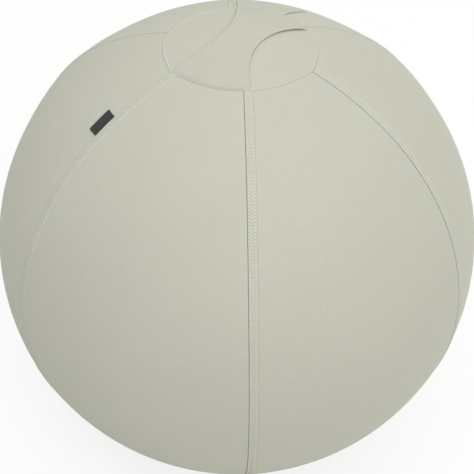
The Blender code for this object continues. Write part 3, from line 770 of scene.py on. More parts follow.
@finish_once
def crown_finish(name):
    return woven(name, ball("cover").colour, "Object", COVER_YARN, sheen=COVER_SHEEN)


@finish_once
def strap_finish(name):
    # painted shade: a darker copy of the cover colour for the strap
    darker = [STRAP_SHADE * part for part in ball("cover").colour]
    return woven(name, darker, "grain", COVER_YARN, sheen=COVER_SHEEN)


@finish_once
def gore_finish(name):
    return woven(name, ball("cover").colour, "grain", COVER_YARN, sheen=COVER_SHEEN, sewn=True)


@finish_once
def tape_finish(name):
    return woven(name, ball("cover").tape_colour, "grain", 0.0009, yarn_shade=0.18)


@finish_once
def label_finish(name):
    return woven(name, ball("label").colour, "grain", 0.00045, yarn_shade=0.30, drift=0.08, sheen=0.1)


@finish_once
def base_finish(name):
    return woven(name, ball("base").colour, "Object", 0.0011, yarn_shade=0.30, drift=0.08)


@finish_once
def pouch_finish(name):
    return woven(name, ball("base").pouch_colour, "Object", 0.0008, yarn_shade=0.2, drift=0.05)


@finish_once
def zip_tape_finish(name):
    return woven(name, ball("zip").tape_colour, "grain", 0.0007, yarn_shade=0.3, drift=0.06)


def twisted(name, base):
    """Twisted sewing thread."""
    made = Finish(name)
    place = made.place("Object")
    fibres = made.noise(place, 2600.0, 2.0)
    made.set(
        Base_Color=made.tint(base, made.spread(fibres, 0.9, 1.06)),
        Roughness=made.spread(fibres, 0.6, 0.75),
        Normal=made.bump(fibres, 0.0001, 0.5),
        Sheen_Weight=0.1,
    )
    return made.material


@finish_once
def thread_finish(name):
    return twisted(name, ball("cover").thread_colour)


@finish_once
def hem_thread_finish(name):
    return twisted(name, ball("cover").hem_thread_colour)


@finish_once
def sand_finish(name):
    """Loose grains of unlike tone."""
    made = Finish(name)
    place = made.place("Object")
    grains = made.add("TexVoronoi")
    made.feed(grains.inputs["Vector"], place)
    grains.inputs["Scale"].default_value = 1100.0
    slow = made.noise(place, 40.0, 3.0)
    shade_of = made.noise(place, 900.0, 1.0)
    tone = made.math("MULTIPLY", made.spread(shade_of, 0.7, 1.25), made.spread(slow, 0.92, 1.08))
    made.set(
        Base_Color=made.tint(ball("base").sand_colour, tone),
        Roughness=made.spread(slow, 0.9, 1.0),
        Normal=made.bump(grains.outputs["Distance"], 0.0004, 0.8),
    )
    return made.material


def moulded(name, base, shine, grain):
    """Moulded plastic or vinyl: fine grain, slow drifts of tone and of gloss."""
    made = Finish(name)
    place = made.place("Object")
    fine = made.noise(place, grain, 3.0, 0.6)
    slow = made.noise(place, 22.0, 3.0)
    made.set(
        Base_Color=made.tint(base, made.spread(slow, 0.93, 1.06)),
        Roughness=made.spread(slow, shine - 0.06, shine + 0.08),
        Normal=made.bump(fine, 0.0001, 0.25),
    )
    return made.material


@finish_once
def bladder_finish(name):
    return moulded(name, ball("bladder").colour, 0.46, 900.0)


@finish_once
def plug_finish(name):
    return moulded(name, ball("bladder").plug_colour, 0.38, 1800.0)


@finish_once
def teeth_finish(name):
    return moulded(name, ball("zip").teeth_colour, 0.42, 2400.0)


@finish_once
def metal_finish(name):
    """Cast and tumbled metal: fine scratches, and a brighter wear where it is handled."""
    made = Finish(name)
    place = made.place("Object")
    cast = made.noise(place, 1500.0, 4.0, 0.6)
    worn = made.noise(place, 160.0, 3.0)
    scratch = made.noise(made.stretched(place, (300.0, 5200.0, 300.0), 0.6), 1.0, 2.0)
    made.set(
        Base_Color=made.tint(ball("zip").metal_colour, made.ranged(worn, 0.35, 0.7, 0.85, 1.35)),
        Roughness=made.spread(scratch, 0.28, 0.46),
        Normal=made.bump(cast, 0.00006, 0.3),
        Metallic=0.9,
    )
    return made.material


# Gores
# Places of the columns and rows of points, from an edge inwards or from the crease to both sides
NEAR_LEFT = steps(
    0, 0.08, 0.2, 0.45, 0.9, 1.4, 1.8, 2.3, 3.0, 4.2, 5.6, 7.0, 8.2, 8.8, 9.2, 9.7, 10.2, 10.6, 10.9,
    11.2, 11.5, 12.0, 13.0, 15.0, 18, 21, 23.5, 24.5, 25.3, 26.1, 26.9, 27.7, 28.5, 29.5, 31,
)
NEAR_RIGHT = steps(
    0, 0.08, 0.2, 0.45, 0.8, 1.2, 1.8, 2.6, 4, 6.5, 10, 15,
    20, 23.5, 24.5, 25.3, 26.1, 26.9, 27.7, 28.5, 29.5, 31,
)
NEAR_END = steps(0, 0.08, 0.2, 0.45, 0.9, 1.5, 2.4, 4)
NEAR_CREASE = steps(-6, -4, -2.6, -1.6, -0.9, -0.4, 0, 0.4, 0.9, 1.6, 2.6, 4, 6)
GORE_ROW = 0.0026  # from one row of points to the next
GORE_MIDDLE = 14  # columns between the ones that lie near the two seams
BEFORE_CREASE = 3  # how many of these lie on the left of the crease
CREASED_GORE = GORE_NAMES.index("rear_right")
SEAM_OPEN = (0.0, 1.4, 0.0, 0.0, 0.0, 0.4)  # how far each gore seam gapes, from the front one on
OPEN_START, OPEN_RUN = math.radians(26), math.radians(52)
OPEN_TOP, OPEN_GROWTH = 0.5, 0.9  # share of that gap at the crown, and what is added towards the base
SEAM_FOOT = (0.8, 1.0, 1.0, 1.0, 1.0, 0.35)  # how far the foot of each seam's band is pulled in
BAND_START, BAND_END = 0.45 * MM, 0.7 * MM  # over which the band rises from its ditch and falls to its foot
NEAR_ROW_SPAN, FAR_ROW_SPAN = 0.45 * MM, 0.5 * MM
FOOT_PLACE, FOOT_SPAN = 0.1 * MM, 0.35 * MM
LIP_PLACE, LIP_SPAN = 0.7 * MM, 0.5 * MM
CREASE_BEGINS, CREASE_ENDS = 0.15, 0.3  # shares of its run over which the crease deepens and runs out
CREASE_VALLEY = 0.5 * MM
CREASE_LIP, CREASE_LIP_PLACE, CREASE_LIP_SPAN = 0.6, 2.6 * MM, 2.4 * MM  # the lip's height is a share
# Puckers: how far they reach from the band, the plain side and the crown, and shares of their height
BAND_PUCKER, PLAIN_PUCKER, CROWN_PUCKER = 9 * MM, 7 * MM, 14 * MM
PLAIN_PUCKER_SHARE, CROWN_PUCKER_SHARE = 0.7, 0.5
PUCKER_SLANT, CROWN_PUCKER_SLANT = 0.7, 0.1
SEAM_MARGIN = 0.0035  # crown seam or base hem to the nearest stitch of a gore seam
THREAD_PROUD = 0.1  # share of its thickness by which the middle of a thread stands over the cloth
RUN_STEP = 0.001  # tilt from a stitch to the point that gives its direction
BAND_SIDE = 0.01  # turn from a seam to where the base hem is measured for its stitches
TAPE = 0.0010
TAPE_ROWS = 120
TAPE_SIDES = steps(-8, -7.6, -6, -3, 0, 3, 6, 9)  # columns of a seam tape, up to its right selvedge
SELVEDGE, SELVEDGE_WIDTH = 0.25 * MM, 0.4 * MM


def filled(start, end, count):
    """Even places between two columns, without the two."""
    share = np.arange(1, count + 1) / (count + 1)
    return start + (end - start) * share


def gore_gaps(index, theta):
    """Ditches at a gore's left and right seams, which may open a little more towards the base."""
    grown = OPEN_TOP + OPEN_GROWTH * smooth((theta - OPEN_START) / OPEN_RUN)
    seams = (index, (index + 1) % len(SEAM_OPEN))
    return [ball("cover").seam_gap * (1 + SEAM_OPEN[seam] * grown) for seam in seams]


def gore_columns(width, gaps, crease_share):
    """Distances across a gore from its left seam, close together where the cloth bends."""
    left_gap, right_gap = gaps
    left = left_gap / 2 + NEAR_LEFT
    right = (width - right_gap / 2 - NEAR_RIGHT)[::-1]
    if crease_share is None:
        return np.concatenate((left, filled(left[-1], right[0], GORE_MIDDLE), right))
    crease = width * crease_share + NEAR_CREASE
    before = filled(left[-1], crease[0], BEFORE_CREASE)
    after = filled(crease[-1], right[0], GORE_MIDDLE - BEFORE_CREASE)
    return np.concatenate((left, before, crease, after, right))


def gore_tilts(phi):
    """Tilts down a gore at one azimuth, from the crown seam to the base seam or the zip's hem."""
    cover = ball("cover")
    top = crown_tilt() + (cover.crown_gap / 2 + NEAR_END) / pole_radius()
    bottom = base_tilt() - (hem(phi) + NEAR_END[::-1]) / cover.equator_radius
    count = int((base_tilt() - crown_tilt()) * cover.equator_radius / GORE_ROW)
    return np.concatenate((top, filled(top[-1], bottom[0], count), bottom))


def band_depth(across, drawn_in=1.0):
    """Depth across a gore by its seam band: the band's rise, and the rows of stitches that pull it in."""
    cover = ball("cover")
    band = smooth(across / BAND_START) * smooth((cover.band_width - across) / BAND_END)
    rows = bell(across - cover.near_row, NEAR_ROW_SPAN) + bell(across - cover.far_row, FAR_ROW_SPAN)
    foot = bell(across - cover.band_width - FOOT_PLACE, FOOT_SPAN)
    return cover.stitch_sink * rows + cover.foot_sink * drawn_in * foot - cover.band_rise * band


def crease_depth(theta, phi):
    """A short fold that runs back from the crown: a sharp valley with a soft lip beside it."""
    cover = ball("cover")
    across = (phi - cover.crease_azimuth) * round_radius(theta) * np.sin(theta)
    run = (theta - cover.crease_start) / (cover.crease_end - cover.crease_start)
    fade = smooth(run / CREASE_BEGINS) * smooth((1 - run) / CREASE_ENDS)
    valley = np.exp(-np.abs(across) / CREASE_VALLEY)
    lip = bell(across - CREASE_LIP_PLACE, CREASE_LIP_SPAN)
    return cover.crease * fade * (valley - CREASE_LIP * lip)


def gore_points(index):
    """Front and back of a gore, its grain and its relief."""
    cover = ball("cover")
    start = index * SECTOR
    creased = index == CREASED_GORE
    share = (cover.crease_azimuth - start) / SECTOR if creased else None
    middle = gore_tilts(start + SECTOR / 2)
    widths = SECTOR * round_radius(middle) * np.sin(middle)
    rows = zip(widths, np.stack(gore_gaps(index, middle), -1))
    across = np.stack([gore_columns(width, gaps, share) for width, gaps in rows])
    phi = start + SECTOR * across / widths[:, None]
    theta = np.stack([gore_tilts(turned) for turned in phi[-1]], -1)
    along = theta * cover.equator_radius
    far = widths[:, None] - across
    from_top = (theta - crown_tilt()) * pole_radius()
    from_bottom = (base_tilt() - theta) * cover.equator_radius - hem(phi) + cover.seam_gap / 2
    beside = bell(across - cover.band_width / 2, BAND_PUCKER) + PLAIN_PUCKER_SHARE * bell(far, PLAIN_PUCKER)
    drawn = CROWN_PUCKER_SHARE * bell(from_top, CROWN_PUCKER)
    puckers = beside * ripple(along, PUCKER_SLANT * across)
    puckers = puckers + drawn * ripple(2 * across, CROWN_PUCKER_SLANT * along)
    depth = band_depth(across, SEAM_FOOT[index]) - cover.lip * bell(far - LIP_PLACE, LIP_SPAN)
    depth = depth - cover.pucker * puckers
    if creased:
        depth = depth + crease_depth(theta, phi)
    left_gap, right_gap = gore_gaps(index, middle[:, None])
    sides = [into_ditch(across, left_gap), into_ditch(far, right_gap), into_ditch(from_bottom)]
    edge = np.max(sides, axis=0)
    depth = depth + (cover.ditch - depth) * edge
    depth = depth + (np.maximum(cover.crown_ditch, depth) - depth) * into_ditch(from_top, cover.crown_gap)
    grain = np.stack((across, along - stitch_start() * cover.equator_radius), -1)
    return skin(theta, phi, depth), skin(theta, phi, cover.cloth), grain, -depth


def stitch_start():
    """Tilt of the first stitch of a gore seam."""
    return crown_tilt() + SEAM_MARGIN / pole_radius()


def seam_row(index, across, slant=None):
    """Places of a stitch row down a gore seam, this far from its ditch, or of slanting threads."""
    cover = ball("cover")
    seam = index * SECTOR
    bottom = base_tilt() - (float(hem(seam + BAND_SIDE)) + SEAM_MARGIN) / cover.equator_radius
    theta = np.arange(stitch_start(), bottom, cover.stitch_pitch / cover.equator_radius)
    sunk = float(band_depth(across)) - cover.thread * THREAD_PROUD
    step = RUN_STEP if slant is None else -slant / cover.equator_radius
    beside = across if slant is None else across + slant / COVER_SLANT
    centre = skin(theta, seam + turn_of(across, theta), sunk)
    ahead = skin(theta + step, seam + turn_of(beside, theta + step), sunk)
    return centre, ahead - centre, outward(theta, seam + turn_of(across, theta))


class BALL_OT_gores(bpy.types.Operator):
    """Six cloth gores, each with a raised band along its left seam, and the stitches of the seams"""

    bl_idname = "ball.gores"
    bl_label = "Gores and seams"

    def execute(self, context):
        cover = ball("cover")
        stitches = []
        for index, seam in enumerate(SEAM_NAMES):
            rows = [seam_row(index, across) for across in (cover.near_row, cover.far_row)]
            piece = sew("stitches_" + seam, rows, STITCH_SHOWN * cover.stitch_pitch, cover.thread)
            stitches.append([dress(piece, thread_finish(), "cover_cloth")])
            run = cover.far_row - cover.near_row
            crossing = seam_row(index, cover.near_row + run / 2, slant=COVER_SLANT * run / 4)
            span = run * math.hypot(1, COVER_SLANT)
            piece = sew("cover_threads_" + seam, [crossing], span, cover.cover_thread)
            stitches[-1].append(dress(piece, hem_thread_finish(), "cover_cloth"))
        for index, name in enumerate(GORE_NAMES):
            piece = cloth_piece("cloth_gore_" + name, *gore_points(index))
            dress(piece, gore_finish(), "cover_cloth", "gore_" + name)
        return {"FINISHED"}


class BALL_OT_tapes(bpy.types.Operator):
    """Woven strips that bind the gore seams inside the cover"""

    bl_idname = "ball.tapes"
    bl_label = "Seam tapes"

    def execute(self, context):
        cover = ball("cover")
        sides = np.append(TAPE_SIDES, (cover.band_width - SELVEDGE_WIDTH, cover.band_width))
        selvedge = np.zeros(len(sides))
        selvedge[[0, -1]] = SELVEDGE
        depth = cover.cloth + cover.fit
        for index, name in enumerate(SEAM_NAMES):
            seam = index * SECTOR
            top = crown_tilt() + 2 * cover.seam_gap / pole_radius()
            bottom = base_tilt() - (float(hem(seam)) + cover.seam_gap) / cover.equator_radius
            theta = np.linspace(top, bottom, TAPE_ROWS)[:, None]
            phi = seam + turn_of(sides, theta)
            grain = np.stack(np.broadcast_arrays(sides, theta * cover.equator_radius), -1)
            front = skin(theta, phi, depth + selvedge)
            back = skin(theta, phi, depth + TAPE - selvedge)
            piece = cloth_piece("tape_" + name, front, back, grain)
            dress(piece, tape_finish(), "seam_tape_cloth", "seam_tape_" + name)
        return {"FINISHED"}


# Crown
RING = 0.003
CROWN_TURNS = 240
TACK_RISE = 0.0010
TACK_LENGTH = 0.0032
TACK_STITCHES = 9
TACK_LEAN = 0.30
NEAR_RIM = steps(0, 0.08, 0.2, 0.4, 0.7, 1.1, 1.5, 2.0, 2.6, 3.4, 4.6)


def crown_depth(from_seam):
    """Depth of the crown panel at this distance inside its seam: a raised roll, then the ditch."""
    cover = ball("cover")
    roll = -cover.rim_rise * bell(from_seam - cover.rim_width / 2, cover.rim_width / 3)
    return roll + (cover.crown_ditch - roll) * into_ditch(from_seam, cover.crown_gap)


def disc_rings(edge, near, step):
    """Distances from a disc's edge, from its middle outwards."""
    count = int((edge - near[-1]) / step)
    inside = filled(edge, near[-1], count)
    return np.concatenate(([edge], inside, near[::-1]))


def tack(seam):
    """A bar tack: stitches side by side across the crown seam, leaning by turns left and right."""
    number = np.arange(TACK_STITCHES)
    theta = np.full(TACK_STITCHES, crown_tilt())
    phi = seam + turn_of((number + 0.5) * ball("cover").band_width / TACK_STITCHES, theta)
    east = np.stack((np.cos(phi), np.sin(phi), np.zeros(TACK_STITCHES)), -1)
    out = outward(theta, phi)
    south = np.cross(east, out)
    turned = (TACK_LEAN * np.where(number % 2, 1, -1))[:, None]
    return skin(theta, phi, -TACK_RISE), south + turned * east, out


class BALL_OT_crown(bpy.types.Operator):
    """Round crown panel with a rolled edge, and the bar tacks that hold the strap's corners"""

    bl_idname = "ball.crown"
    bl_label = "Crown"

    def execute(self, context):
        cover = ball("cover")
        from_seam = cover.crown_gap / 2 + disc_rings(crown_tilt() * pole_radius(), NEAR_RIM, RING)
        from_seam[0] = crown_tilt() * pole_radius()
        theta = (crown_tilt() - from_seam / pole_radius())[:, None]
        phi = np.linspace(0, math.tau, CROWN_TURNS + 1)[None, :]
        depth = crown_depth(from_seam)[:, None]
        front = skin(theta, phi, depth)
        back = skin(theta, phi, np.full_like(depth, cover.cloth))
        relief = -np.broadcast_to(depth, front.shape[:2])
        piece = cloth_piece("cloth_crown", front, back, front[..., :2], relief, welded=True)
        dress(piece, crown_finish(), "cover_cloth", "crown_panel")
        corners = (ball("strap").axis + side * SECTOR / 2 + end for side in (-1, 1) for end in (0, math.pi))
        tacks = sew("stitches_tacks", [tack(corner) for corner in corners], TACK_LENGTH, HEM_THREAD)
        dress(tacks, thread_finish(), "cover_cloth")
        return {"FINISHED"}


# Strap
NEAR_STRAP_EDGE = steps(
    0, 0.12, 0.3, 0.6, 1.0, 1.6, 2.6, 3.8, 4.6, 5.2, 5.8, 6.6, 7.4, 7.9, 8.3, 8.8, 9.6, 11, 13.5,
)
STRAP_MIDDLE = 13
STRAP_ROWS = 110
STRAP_END = 0.0004  # crown seam to the strap's end
STRAP_FIT = 0.00012  # room between its layers
EDGE_HIGHLIGHT = 0.0010  # painted highlight: the strap's edge is made as pale as cloth that stands this far proud
EDGE_HIGHLIGHT_PLACE, EDGE_HIGHLIGHT_SPAN = 0.5 * MM, 0.6 * MM
STRAP_DRAW = 0.010  # over which the seam draws the strap's layers together
STRAP_PINCH = 0.1  # share of their thickness that is left at the seam
STRAP_SLACK = 1.6  # how many times as far the strap is held down on the crown
STRAP_ROUND = 0.2 * MM  # run over which its long edges turn down
STRAP_THINNED = 0.85  # share of its thickness that is lost at the edge
HEM_STEP = 0.6 * MM  # over which the turned edge ends
HEM_ROW_SPAN = 0.5 * MM
HEM_PUCKER, HEM_PUCKER_SHARE, HEM_PUCKER_SLANT = 5 * MM, 0.6, 0.4  # reach, and shares as on a gore
STRAP_THREAD_PROUD = 0.22  # share of its thickness by which a stitch's middle stands over the strap
STRAP_UNSEWN = 3  # rows of points at the strap's ends without stitches


def strap_plan(set_back):
    """Along, across, distance from the nearer long edge and half width, for the points of a layer."""
    strap = ball("strap")
    reach = ball("cover").crown_radius - STRAP_END
    inner = filled(-1, 1, STRAP_MIDDLE)
    beside = np.ones(len(NEAR_STRAP_EDGE))
    share = np.concatenate((-beside, inner, beside))
    end_turn = np.where(share > 0, strap.end_right, strap.end_left)
    end_half, corner = reach * np.sin(end_turn), reach * np.cos(end_turn)
    middle = np.full(STRAP_MIDDLE, NEAR_STRAP_EDGE[-1])
    inset = np.concatenate((NEAR_STRAP_EDGE, middle, NEAR_STRAP_EDGE[::-1])) + set_back
    end = np.sqrt(reach**2 - (share * (end_half - inset)) ** 2)
    along = np.linspace(-1, 1, STRAP_ROWS)[:, None] * end
    widen = np.minimum(np.abs(along) / corner, 1) ** strap.flare
    half = strap.waist / 2 + (end_half - strap.waist / 2) * widen
    across = share * (half - inset)
    return along, across, half - set_back - np.abs(across), half


def strap_layer(below, thickness, hemmed, set_back=0.0):
    """Front and back of one layer of the strap, its grain and its relief."""
    strap, cover = ball("strap"), ball("cover")
    along, across, from_edge, half = strap_plan(set_back)
    plan = np.hypot(along, across)
    theta = tilt(plan)
    phi = strap.axis + np.arctan2(across, along)
    from_seam = (crown_tilt() - theta) * pole_radius()
    drawn = STRAP_PINCH + (1 - STRAP_PINCH) * smooth(from_seam / STRAP_DRAW)
    slack = smooth(from_seam / (STRAP_SLACK * STRAP_DRAW))
    gape = strap.gap * bell(along - strap.gap_place, strap.gap_span) * smooth(across / half) ** 4
    lift = (strap.middle_lift + strap.edge_lift * (across / half) ** 2 + gape) * slack
    low = below * drawn + lift - crown_depth(from_seam)
    edge = np.exp(-from_edge / STRAP_ROUND)
    raised = thickness * drawn
    if hemmed:
        hem_band = smooth((strap.hem + HEM_STEP / 2 - from_edge) / HEM_STEP)
        from_row = from_edge - strap.hem_row
        row = cover.stitch_sink * bell(from_row, HEM_ROW_SPAN)
        wave = HEM_PUCKER_SHARE * cover.pucker * bell(from_row, HEM_PUCKER)
        wave = wave * ripple(along, HEM_PUCKER_SLANT * across)
        raised = raised + (strap.hem_rise * hem_band - row + wave) * drawn
    high = low + raised * (1 - STRAP_THINNED * edge)
    grain = np.stack((across, along), -1)
    # relief also carries the painted highlight along the strap's edge
    relief = raised - thickness + EDGE_HIGHLIGHT * bell(from_edge - EDGE_HIGHLIGHT_PLACE, EDGE_HIGHLIGHT_SPAN)
    return skin(theta, phi, -high), skin(theta, phi, -low), grain, relief, (theta, phi, high)


class BALL_OT_strap(bpy.types.Operator):
    """Carry strap over the crown: a lining and a hemmed upper layer, both held by the crown seam"""

    bl_idname = "ball.strap"
    bl_label = "Strap"

    def execute(self, context):
        strap, cover = ball("strap"), ball("cover")
        lining = strap_layer(STRAP_FIT, strap.lining, False, strap.set_back)
        piece = cloth_piece("cloth_strap_lining", *lining[:4])
        dress(piece, strap_finish(), "cover_cloth", "handle_lining")
        *upper, (theta, phi, high) = strap_layer(2 * STRAP_FIT + strap.lining, strap.thickness, True)
        rows = []
        column = int(np.argmin(np.abs(NEAR_STRAP_EDGE - strap.hem_row)))
        for at in (column, -1 - column):
            sewn = (slice(STRAP_UNSEWN, -STRAP_UNSEWN), at)
            line = skin(theta[sewn], phi[sewn], -high[sewn] - HEM_THREAD * STRAP_THREAD_PROUD)
            rows.append(along_line(line, outward(theta[sewn], phi[sewn]), cover.stitch_pitch))
        stitches = sew_hem("stitches_strap", rows)
        piece = cloth_piece("cloth_strap", *upper)
        dress(piece, strap_finish(), "cover_cloth", "handle_strap")
        return {"FINISHED"}


# Label
LABEL_COLUMNS = 16  # of points across each layer
LABEL_BEND = 9  # and round the fold, with one of each layer
LABEL_ROWS = 26
LABEL_BOW = 0.35 * MM  # how far the label stands up between its seam and its fold


class BALL_OT_label(bpy.types.Operator):
    """Bare woven tab, folded at its free edge and caught in the front left seam"""

    bl_idname = "ball.label"
    bl_label = "Label"

    def execute(self, context):
        label, cover = ball("label"), ball("cover")
        radius = (label.height - label.ply) / 2
        run = np.linspace(0, label.width - label.height / 2, LABEL_COLUMNS)
        bend = np.linspace(0, math.pi, LABEL_BEND)[1:-1]
        middle = label.height / 2

        def folded(lower, bent, upper):
            return np.concatenate((np.full(LABEL_COLUMNS, lower), bent, np.full(LABEL_COLUMNS, upper)))

        arc = np.concatenate((run, run[-1] + radius * np.sin(bend), run[::-1]))
        level = folded(middle - radius, middle - radius * np.cos(bend), middle + radius)
        side = folded(0.0, np.sin(bend), 0.0)
        face = folded(-1.0, -np.cos(bend), 1.0)
        bow = LABEL_BOW * np.sin(math.pi * np.clip(arc / label.width, 0, 1))
        theta = (label.distance + np.linspace(0, label.length, LABEL_ROWS)) / cover.equator_radius
        theta = theta[:, None]
        seam = LABEL_SEAM * SECTOR

        def ply(offset):
            out = cover.seam_gap + arc + side * offset
            height = cover.fit + level + bow + face * offset
            return skin(theta, seam - turn_of(out, theta), -np.broadcast_to(height, (len(theta), len(arc))))

        unrolled = np.concatenate(([0], np.cumsum(np.hypot(np.diff(arc), np.diff(level)))))
        grain = np.stack(np.broadcast_arrays(unrolled, theta * cover.equator_radius), -1)
        piece = cloth_piece("cloth_label", ply(label.ply / 2), ply(-label.ply / 2), grain)
        dress(piece, label_finish(), "label_cloth", "label_tab")
        return {"FINISHED"}


# Base and weighted pad
BASE_TURNS = 480
BASE_RING = 0.004
POUCH_TURNS, POUCH_RINGS = 96, 36
POUCH_SAG = 0.00012  # height of the small wrinkles in the upper cloth of the pouch
SLACK_START = 0.6  # share of the sand's radius where they begin
SLACK_FOLDS, SLACK_WAVES = 9, 140  # folds round the pouch, and waves outwards in radians a metre
FILL_TURNS, FILL_RINGS = 120, 40
FILL_UNEVEN = 0.0002  # height of the unevenness of the sand, and its least thickness
FILL_WAVES = (70, 60)  # its waves along X and Y, in radians a metre


def round_sheet(name, edge_tilt, turns, depth_of, thickness):
    """A round panel under the ball, from its axis out to edge_tilt, which may change with azimuth."""
    cover = ball("cover")
    phi = np.linspace(0, math.tau, turns + 1)
    edge = edge_tilt(phi)
    arc = (math.pi - edge.max()) * cover.equator_radius
    share = 1 - disc_rings(arc, NEAR_END, BASE_RING)[:, None] / arc
    theta = math.pi - (math.pi - edge)[None, :] * share
    from_edge = (theta - edge[None, :]) * cover.equator_radius
    phi = np.broadcast_to(phi, theta.shape)
    depth = depth_of(theta, phi, from_edge)
    front = skin(theta, phi, depth)
    inner = depth_of(theta, phi, 1 + 0 * from_edge) + thickness
    back = skin(theta, phi, inner)
    return cloth_piece(name, front, back, front[..., :2], -depth, welded=True)


class BALL_OT_base(bpy.types.Operator):
    """Round base panel that the ball stands on"""

    bl_idname = "ball.base"
    bl_label = "Base"

    def execute(self, context):
        cover = ball("cover")

        def edge(phi):
            return base_tilt() + hem(phi) / cover.equator_radius

        def depth(theta, phi, from_edge):
            return cover.ditch * into_ditch(from_edge + cover.seam_gap / 2)

        piece = round_sheet("cloth_base", edge, BASE_TURNS, depth, cover.cloth)
        dress(piece, base_finish(), "base_cloth", "base_panel")
        return {"FINISHED"}


def level_disc(name, radius, top, thickness, sag):
    """A round level cloth, a little slack: sag gives its dips over distance and azimuth."""
    rings = np.linspace(0, radius, POUCH_RINGS)[:, None]
    phi = np.linspace(0, math.tau, POUCH_TURNS + 1)[None, :]
    x, y = rings * np.sin(phi), -rings * np.cos(phi)
    height = top - sag(rings, phi)
    front = np.stack(np.broadcast_arrays(x, y, height), -1)
    back = front - (0, 0, thickness)
    return cloth_piece(name, front, back, front[..., :2], welded=True)


class BALL_OT_pad(bpy.types.Operator):
    """Sand pouch under the bladder: two round cloths sewn round a flat fill of sand"""

    bl_idname = "ball.pad"
    bl_label = "Weighted pad"

    def execute(self, context):
        base, cover = ball("base"), ball("cover")
        lower = cover.cloth + cover.fit
        bottom = lower + base.pouch + cover.fit

        def edge(phi):
            return np.full_like(phi, float(tilt(base.pad_radius, -1)))

        def depth(theta, phi, from_edge):
            return lower + 0 * theta

        piece = round_sheet("cloth_pouch_lower", edge, FILL_TURNS, depth, base.pouch)
        dress(piece, pouch_finish(), "pouch_cloth", "pad_pouch_lower")

        def slack(rings, phi):
            start = SLACK_START * base.fill_radius
            near_rim = smooth((rings - start) / (base.fill_radius - start))
            return POUCH_SAG * near_rim * (1 + np.sin(SLACK_FOLDS * phi) * np.sin(SLACK_WAVES * rings))

        top = base.pad_height + cover.fit + base.pouch
        piece = level_disc("cloth_pouch_upper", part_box("pad_pouch_upper")[1].x, top, base.pouch, slack)
        dress(piece, pouch_finish(), "pouch_cloth", "pad_pouch_upper")

        rings = np.linspace(0, base.fill_radius, FILL_RINGS)[:, None]
        phi = np.linspace(0, math.tau, FILL_TURNS + 1)[None, :]
        theta = tilt(rings, -1)
        under = skin(theta, phi, bottom + 0 * theta)
        over = under.copy()
        waves = np.sin(FILL_WAVES[0] * under[..., 0]) * np.cos(FILL_WAVES[1] * under[..., 1])
        uneven = FILL_UNEVEN * (1 + waves)
        over[..., 2] = np.maximum(base.pad_height - uneven, under[..., 2] + FILL_UNEVEN)
        piece = cloth_piece("sand_fill", over, under, over[..., :2], welded=True)
        dress(piece, sand_finish(), "pad_sand", "pad_fill")
        return {"FINISHED"}


# Bladder
BLADDER_TURNS = 160
BLADDER_RINGS = 150
RIB_SHARPNESS = 6  # power that narrows the moulded rings
DENT_REACH = 2.5  # how far the dent behind the zip runs, in widths of the guard on one side
VALVE_SIDES = 64
VALVE_CUT = 0.04  # length of the cutter for the valve's hole


def bladder_depth(theta):
    """The bladder lies inside the seam tapes, and deeper behind the zip to clear slider and guard."""
    cover, zipper = ball("cover"), ball("zip")
    plain = cover.cloth + TAPE + 2 * cover.fit
    dent = zipper.guard_depth + zipper.guard + cover.fit - plain
    reach = zipper.guard_reach
    behind = smooth((DENT_REACH * reach - np.abs(theta - base_tilt()) * cover.equator_radius) / reach)
    return plain + dent * behind


class BALL_OT_bladder(bpy.types.Operator):
    """Air bladder with moulded rings and a hole for its valve, and the finish of the valve"""

    bl_idname = "ball.bladder"
    bl_label = "Bladder and valve"

    def execute(self, context):
        bladder, cover, base = ball("bladder"), ball("cover"), ball("base")
        piece = added(
            bpy.ops.mesh.primitive_uv_sphere_add, segments=BLADDER_TURNS, ring_count=BLADDER_RINGS, radius=1
        )
        piece.name = piece.data.name = "vinyl_bladder"
        points = read_points(piece.data).astype(float)
        phi = np.arctan2(points[:, 0], -points[:, 1])
        theta = np.arctan2(np.hypot(points[:, 0], points[:, 1]), points[:, 2])
        beat = np.cos(math.tau * theta * cover.equator_radius / bladder.rib_pitch)
        ribs = bladder.rib * (0.5 + 0.5 * beat) ** RIB_SHARPNESS
        floor = base.pad_height + base.pouch + 2 * cover.fit
        write_points(piece.data, skin(theta, phi, bladder_depth(theta) + bladder.rib - ribs, floor))
        apply_modifier(piece, "SOLIDIFY", thickness=bladder.wall, offset=-1)
        low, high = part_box("valve_seat")
        middle = (low + high) / 2
        out = (middle - Vector((0, 0, centre_height()))).normalized()
        cutter = added(
            bpy.ops.mesh.primitive_cylinder_add,
            vertices=VALVE_SIDES, radius=bladder.valve_hole, depth=VALVE_CUT, location=middle,
            rotation=out.to_track_quat("Z", "Y").to_euler(),
        )
        apply_modifier(piece, "BOOLEAN", object=cutter, operation="DIFFERENCE", solver="EXACT")
        bpy.data.objects.remove(cutter)
        shade(piece, HARD_SHADE)
        dress(piece, bladder_finish(), "bladder_pvc", "bladder")
        rounded_copy("moulded_valve_seat", "valve_seat", bladder_finish(), "bladder_pvc")
        rounded_copy("moulded_valve_plug", "valve_plug", plug_finish(), "plug_plastic")
        return {"FINISHED"}


def rounded_copy(name, node, finish, slot, body="ball"):
    """A solid's own shape with its edges rounded over."""
    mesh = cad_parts[node].data.copy()
    mesh.name = name
    piece = linked(name, mesh)
    edit(
        piece,
        (bpy.ops.mesh.remove_doubles, {"threshold": WELD}),
        (bpy.ops.mesh.dissolve_limited, {"angle_limit": FLAT_ANGLE}),
    )
    apply_modifier(
        piece, "BEVEL", width=ball("zip").edge_round, segments=2, limit_method="ANGLE",
        angle_limit=SHARP_ANGLE, use_clamp_overlap=True,
    )
    shade(piece, HARD_SHADE)
    return dress(piece, finish, slot, node, body=body)


